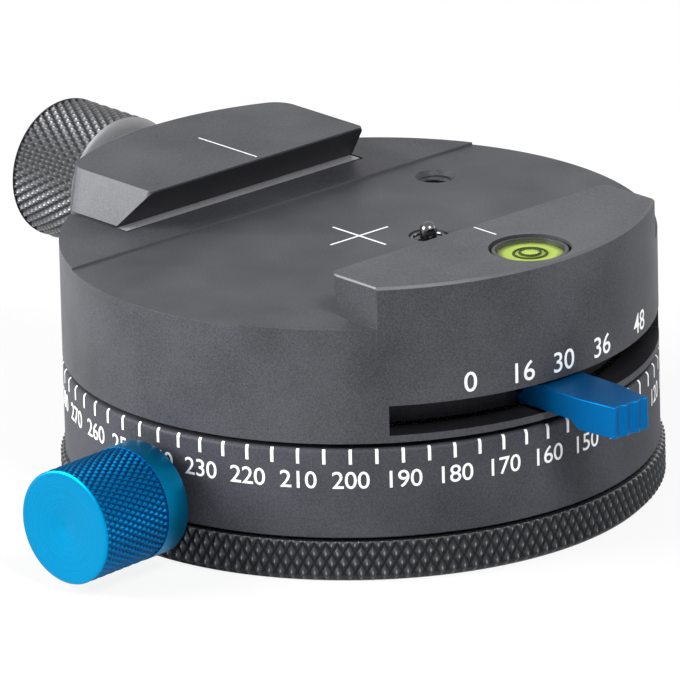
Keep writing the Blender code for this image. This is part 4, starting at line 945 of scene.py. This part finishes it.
def make_knob(name, rows_before, knurl, rows_after, sizes, aim, finishes, slot, body):
    """A knurled knob: plain turned rows, a band of diamonds and a faced end.

    knurl is (radius, start, end), sizes is (teeth, pitch, depth). Rows are (radius, height) on the axis.
    """
    radius, start, end = knurl
    teeth, pitch, depth = sizes
    band = knurl_rows(start, end, pitch)
    profile = np.concatenate((rows_before, np.c_[np.full(len(band), radius), band], rows_after))
    steps, first = teeth * CELLS, len(rows_before)
    relief = np.zeros((len(profile), steps))
    relief[first:first + len(band)] = diamonds(band, steps, teeth, pitch, depth)
    made = piece(name, turned(profile, steps, aim, relief), finishes[0], slot, body, body, sharp=50)

    def plain(at):
        local = moved(at, aim.inverted())
        inside = (local[:, 2] > start - NEAR) & (local[:, 2] < end + NEAR)
        return ~(inside & (from_axis(local) > radius - depth - ROOM))

    finish_faces(made, finishes[1], plain)


def faced_end(radius, end, dish, count):
    """Rows of a faced end, from its rim to the axis, sunk a little towards the middle."""
    reach = between(radius, 0, count)
    return np.c_[reach, end - dish * (1 - reach / radius) ** 2]


def make_clamp_knob():
    start, end, collar, radius = CLAMP_KNOB_Y, CLAMP_KNOB_END, CLAMP_COLLAR_RADIUS, CLAMP_KNOB_RADIUS
    shoulder = start + CLAMP_COLLAR_LENGTH
    soft, chamfer, dish = 0.2 * MM, 0.35 * MM, 0.4 * MM
    before = [(0, start), (collar - soft, start), (collar, start + soft), (collar, shoulder),
              (radius - chamfer, shoulder), (radius - NEAR, shoulder + chamfer)]
    after = np.concatenate(([(radius - NEAR, end - chamfer)], faced_end(radius - chamfer, end, dish, 40)))
    knurl = (radius, shoulder + chamfer + NEAR, end - chamfer - NEAR)
    make_knob("clamp_grip", before, knurl, after, (CLAMP_TEETH, CLAMP_PITCH, CLAMP_DEPTH), clamp_line(),
              (CLAMP_KNURL, CLAMP_FACE), "anodised_black", "clamp_knob")


def make_lock_knob():
    start, end, radius = LOCK_START, LOCK_START + LOCK_LENGTH, LOCK_RADIUS
    smooth, chamfer, dish = start + LOCK_SHOULDER + LOCK_SMOOTH, 0.15 * MM, 0.25 * MM
    turn = between(math.pi / 2, 0, 9)
    shoulder = np.c_[LOCK_NECK + (radius - LOCK_NECK) * np.cos(turn),
                     start + LOCK_SHOULDER * (1 - np.sin(turn))]
    before = np.concatenate(([(0, start)], shoulder, [(radius, smooth)]))
    after = np.concatenate(([(radius - NEAR, end - chamfer)], faced_end(radius - chamfer, end, dish, 36)))
    make_knob("lock_grip", before, (radius, smooth + NEAR, end - chamfer - NEAR), after,
              (LOCK_TEETH, LOCK_PITCH, LOCK_DEPTH), lock_line(), (BLUE_KNURL, BLUE_FACE), "anodised_blue",
              "lock_knob")


def make_stop_lever():
    """The blue lever: its side profile, kept inside its plan with the ridged tip."""
    head = LEVER_REACH - LEVER_HEAD
    low = DISC_BOTTOM - LEVER_DROP
    side = [(LEVER_TAIL, DISC_BOTTOM), (head - LEVER_SLOPE, DISC_BOTTOM), (head, low), (LEVER_REACH, low),
            (LEVER_REACH, DISC_TOP), (LEVER_STEP, DISC_TOP), (LEVER_STEP, LEVER_TAIL_TOP),
            (LEVER_TAIL, LEVER_TAIL_TOP)]
    tip_half = LEVER_HALF - LEVER_TAPER
    across = between(-tip_half, tip_half, LEVER_RIDGES * 8 + 1)[1:-1]
    hollow = LEVER_RIDGE_DEPTH * np.abs(np.sin(np.pi * LEVER_RIDGES * (across / tip_half + 1) / 2))
    ridges = np.c_[LEVER_REACH - hollow, across]
    tip = LEVER_REACH - 0.2 * MM
    plan = np.concatenate(([(LEVER_TAIL, -LEVER_HALF), (head, -LEVER_HALF), (tip, -tip_half)], ridges,
                           [(tip, tip_half), (head, LEVER_HALF), (LEVER_TAIL, LEVER_HALF)]))
    turn = Matrix.Rotation(LEVER_ANGLE, 4, "Z")
    block = prism(side, -LEVER_HALF, LEVER_HALF, turn @ UPRIGHT)
    outline = prism(plan, low - OVERRUN, DISC_TOP + OVERRUN, turn)
    piece("stop_lever", carved(block, [outline], "INTERSECT"), BLUE, "anodised_blue", "selector",
          "selector_lever", edge=LEVER_EDGE, sharp=40)


def make_level():
    """The round level: a black cup, the liquid with its circle and bubble, and a clear domed cap."""
    at = over(LEVEL_CENTRE)
    cup_low, cup_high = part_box("level_cup")[0].z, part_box("level_cup")[1].z
    glass_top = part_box("level_glass")[1].z
    outer, wall, soft, gap = LEVEL_RECESS - FIT, 0.4 * MM, 0.12 * MM, 0.1 * MM
    inner, floor, liquid_top = outer - wall, cup_low + 0.6 * MM, glass_top - 0.75 * MM
    cup = eased([(0, cup_low), (outer, cup_low), (outer, cup_high), (inner, cup_high), (inner, floor),
                 (0, floor)], soft)
    piece("vial_cup", turned(cup, 96, at), PLASTIC, "black_plastic", "rotor", "level_cup")
    puck = inner - NEAR
    liquid = np.concatenate(([(0, floor), (puck, floor), (puck, liquid_top - gap)],
                             np.c_[between(puck - gap, 0, 14), np.full(14, liquid_top)]))
    piece("vial_liquid", turned(liquid, 96, at), LIQUID, "level_liquid", "rotor", "level_liquid")
    bubble_radius, bubble_half = 1.05 * MM, 0.22 * MM
    # The first hoop is the printed circle; the second, dark hoop round the bubble is painted shade along the
    # bubble's edge
    for name, radius, wire, lift in (("vial_circle", 1.65 * MM, 0.15 * MM, 0),
                                     ("vial_bubble_edge_shade", bubble_radius, 0.12 * MM, 0.15 * MM)):
        piece(name, hoop(radius, wire, liquid_top + lift, 72, at), VIAL_LINE, "black_plastic", "rotor")
    rise = between(0, math.pi, 11)
    bubble = np.c_[bubble_radius * np.sin(rise), liquid_top + 0.05 * MM - bubble_half * np.cos(rise)]
    piece("vial_bubble", turned(bubble, 48, at), BUBBLE, "level_glass", "rotor")
    reach, glass_low = between(puck, 0, 12), liquid_top + 0.32 * MM
    dome = np.c_[reach, glass_top - 0.35 * MM * (reach / puck) ** 2]
    cap = np.concatenate(([(0, glass_low), (puck, glass_low)], dome))
    piece("vial_cap", turned(cap, 96, at), GLASS, "level_glass", "rotor", "level_glass")


def make_catch_pin():
    """The sprung pin with its round head, in a chamfered bush held by a snap ring."""
    at = over(PIN_CENTRE)
    low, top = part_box("safety_pin")[0].z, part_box("safety_pin")[1].z
    bush_low, bush_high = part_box("pin_bush")[0].z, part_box("pin_bush")[1].z
    radius, shoulder, step = 0.85 * MM, 1.5 * MM, bush_low - FIT
    shoulder_low = step - 0.7 * MM
    turn = between(0, math.pi / 2, 8)
    head = np.c_[radius * np.cos(turn), top - radius * (1 - np.sin(turn))]
    body = [(0, low), (radius, low), (radius, shoulder_low), (shoulder, shoulder_low), (shoulder, step),
            (radius, step)]
    piece("catch_pin", turned(np.concatenate((body, head)), 48, at), DARK_STEEL_AND_DARK_REFLECTION, "steel", "safety_pin",
          "safety_pin")
    bore, rim = radius + FIT, PIN_WELL_RADIUS - FIT / 10
    bush = [(bore, bush_low), (rim, bush_low), (rim, bush_high), (bore + 0.3 * MM, bush_high),
            (bore, bush_high - 0.25 * MM), (bore, bush_low)]
    piece("catch_bush", turned(bush, 48, at), DARK_STEEL_AND_DARK_REFLECTION, "steel", "rotor", "pin_bush")
    ring = hoop(1.7 * MM, 0.16 * MM, bush_high + 0.14 * MM, 48, at)
    piece("catch_ring", ring, DARK_STEEL_AND_DARK_REFLECTION, "steel", "rotor")


def make_thread_bush():
    """The steel bush in the foot with its tripod thread, sixteen turns an inch, and a conical mouth."""
    low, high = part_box("tripod_bush")[0].z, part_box("tripod_bush")[1].z
    pitch, core, depth, mouth, edge = 25.4 / 16 * MM, 4.0 * MM, 0.76 * MM, 0.9 * MM, 0.1 * MM
    height = between(high - edge, low + edge, 56)[:, None]
    thread = depth * np.clip(1.25 * thread_wave(height, pitch, 96) - 0.12, 0, 1)
    inner = core + np.maximum(thread, np.clip(mouth - (height - low), 0, 1))
    outer = BUSH_RADIUS - edge * np.array([[1], [0], [0], [1]]) + 0 * inner[:1]
    level = np.concatenate(([[low], [low + edge], [high - edge], [high]], height))
    bush = tube(np.concatenate((outer, inner)), level)
    piece("thread_bush", bush, STEEL, "steel", "base", "tripod_bush")


def make_foot_screws():
    """Countersunk screws with a hexagon socket: rings of points, round or, in the socket, six-sided."""
    turn = np.linspace(0, 2 * np.pi, 48, endpoint=False)
    hexagon = math.cos(math.pi / 6) / np.cos(np.mod(turn, math.pi / 3) - math.pi / 6)
    round_ring = np.ones(len(turn))
    low, top = FLANGE_BOTTOM + 0.2 * MM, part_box("base_screw_1")[1].z
    socket, floor, edge, head_end = 1.15 * MM * hexagon, 1.0 * MM, 0.1 * MM, 1.4 * MM
    rings = [(0 * turn, low + floor), (socket, low + floor), (socket, low + edge / 2),
             ((SCREW_HEAD - SCREW_ROOM) * round_ring, low), (SCREW_HEAD * round_ring, low + edge),
             (SCREW_SHANK * round_ring, low + head_end), (SCREW_SHANK * round_ring, top), (0 * turn, top)]
    radius, level = np.array([row for row, _ in rings]), np.array([[z] for _, z in rings])
    for number, centre in enumerate(screw_places(), 1):
        piece(f"foot_screw_{number}", tube(radius, level, False, over(centre)), DARK_STEEL_AND_DARK_REFLECTION, "steel", "base",
              f"base_screw_{number}", sharp=30)


def jaw_top_line(name, span, body):
    """A fine white line across a jaw's top, between two places in Y."""
    bars(name, flat_bar((LINE_X, span[0]), (LINE_X, span[1]), JAW_TOP, FINE_LINE)[None], body)


make_foot_ring()
make_degree_drum()
make_ticks()
labels = [(str(value), SCALE_ZERO - math.radians(value)) for value in range(0, 360, 10)]
make_figures("scale_figures", labels, FIGURE_HEIGHT, FIGURE_ADVANCE, FIGURE_BASE, "base")
make_rotor()
make_tapped_thread()
stops = [(text, math.radians(angle)) for text, angle in STOP_FIGURES]
make_figures("stop_figures", stops, STOP_FIGURE_HEIGHT, STOP_FIGURE_ADVANCE, STOP_FIGURE_BASE, "rotor")
cross = np.stack((flat_bar((CROSS_X - CROSS_REACH, CROSS_Y), (CROSS_X + CROSS_REACH, CROSS_Y), 0),
                  flat_bar((CROSS_X, CROSS_Y - CROSS_REACH), (CROSS_X, CROSS_Y + CROSS_REACH), 0.001 * MM)))
bars("centre_cross", cross, "rotor")
jaw_top_line("index_line", INDEX_LINE, "rotor")
make_sliding_jaw()
jaw_top_line("jaw_line", JAW_LINE, "moving_jaw")
make_clamp_knob()
make_lock_knob()
make_stop_lever()
make_level()
make_catch_pin()
make_thread_bush()
make_foot_screws()

dress(STEEL, "index_plate", "index_screw_1", "index_screw_2", "index_screw_3", "spindle", "brake_drum",
      "disc_clip", "guide_pin_left", "guide_pin_right", "jaw_spring_left", "jaw_spring_right", "pin_spring",
      "clamp_screw", "knob_washer", "lock_stud", "lever_screw_1", "lever_screw_2", "detent_spring",
      "detent_plunger")
dress(BRONZE, "bearing_bush", "thrust_washer", "detent_carriage")
dress(RUBBER, "brake_pad")
dress(BLACK_AND_SLOT_SHADE, "selector_disc")


def make_stage():
    """A white floor that keeps a faint shadow, and a world that is white to the camera and in reflections."""
    corners = np.array([(-1, -1, 0), (1, -1, 0), (1, 1, 0), (-1, 1, 0)]) * FLOOR_REACH
    floor_mesh = bpy.data.meshes.new("floor")
    floor_mesh.from_pydata(corners + np.array((0, 0, FLANGE_BOTTOM - NEAR)), [], [(0, 1, 2, 3)])
    floor = placed("floor", floor_mesh)
    pale = Finish("floor_pale", (0.80, 0.80, 0.80), 0.9, 0.0)
    seen = pale.node("LightPath", {}, {}, 0)
    glow = pale.node("Emission", {}, {"Color": (1, 1, 1, 1), "Strength": 1.0})
    matte = Value(pale, pale.shader.outputs[0])
    both = pale.node("MixShader", {}, {0: seen * 0.86, 1: matte, 2: glow})
    pale.tree.links.new(both.socket, pale.tree.nodes["Material Output"].inputs["Surface"])
    floor_mesh.materials.append(pale.material)

    world = bpy.data.worlds.new("studio")
    bpy.context.scene.world = world
    world.use_nodes = True
    studio = Nodes(world.node_tree)
    camera, glossy, through = (studio.node("LightPath", {}, {}, f"Is {kind} Ray")
                               for kind in ("Camera", "Glossy", "Transmission"))
    white = studio.math("MAXIMUM", studio.math("MAXIMUM", camera, glossy), through)
    sky = world.node_tree.nodes["Background"].inputs
    studio.put(sky["Color"], (1, 1, 1, 1))
    studio.put(sky["Strength"], studio.node("MapRange", {}, {"Value": white, "To Min": WORLD_LEVEL}))


def softbox(name, place, size, power, aim=(0, 0, -0.01)):
    """A soft square lamp that faces the object."""
    lamp = bpy.data.lights.new(name, "AREA")
    lamp.shape = "RECTANGLE"
    lamp.size, lamp.size_y = size
    lamp.energy = power
    placed(name, lamp).matrix_world = standing(place, Vector(place) - Vector(aim))


def make_camera():
    """The photograph's camera: a long lens, turned and shifted as the picture is framed."""
    az, el, roll = CAMERA_AZIMUTH, CAMERA_ELEVATION, CAMERA_ROLL
    back = Vector((math.sin(az) * math.cos(el), -math.cos(az) * math.cos(el), math.sin(el)))
    right = (-back).cross(Vector((0, 0, 1))).normalized()
    up = right.cross(-back)
    c, s = math.cos(-roll), math.sin(-roll)
    axes = (c * right - s * up, s * right + c * up, back)
    data = bpy.data.cameras.new("camera")
    data.lens = CAMERA_LENS
    data.sensor_width = SENSOR_WIDTH
    data.shift_x = (IMAGE_SIZE / 2 - IMAGE_CENTRE[0]) / IMAGE_SIZE
    data.shift_y = (IMAGE_CENTRE[1] - IMAGE_SIZE / 2) / IMAGE_SIZE
    data.clip_end = 20
    camera = placed("camera", data)
    turn = Matrix([list(row) for row in zip(*axes)]).to_4x4()
    camera.matrix_world = Matrix.Translation(CAMERA_AIM + back * CAMERA_DISTANCE) @ turn
    bpy.context.scene.camera = camera


make_stage()
softbox("left_softbox", (-0.58, 0.36, 0.32), (0.45, 0.40), 10.5)
softbox("key_softbox", (-0.12, -0.55, 0.62), (0.3, 0.3), 6.0)
softbox("right_softbox", (0.65, -0.25, 0.20), (0.3, 0.3), 0.7)
make_camera()
bpy.context.scene.view_settings.view_transform = "Standard"
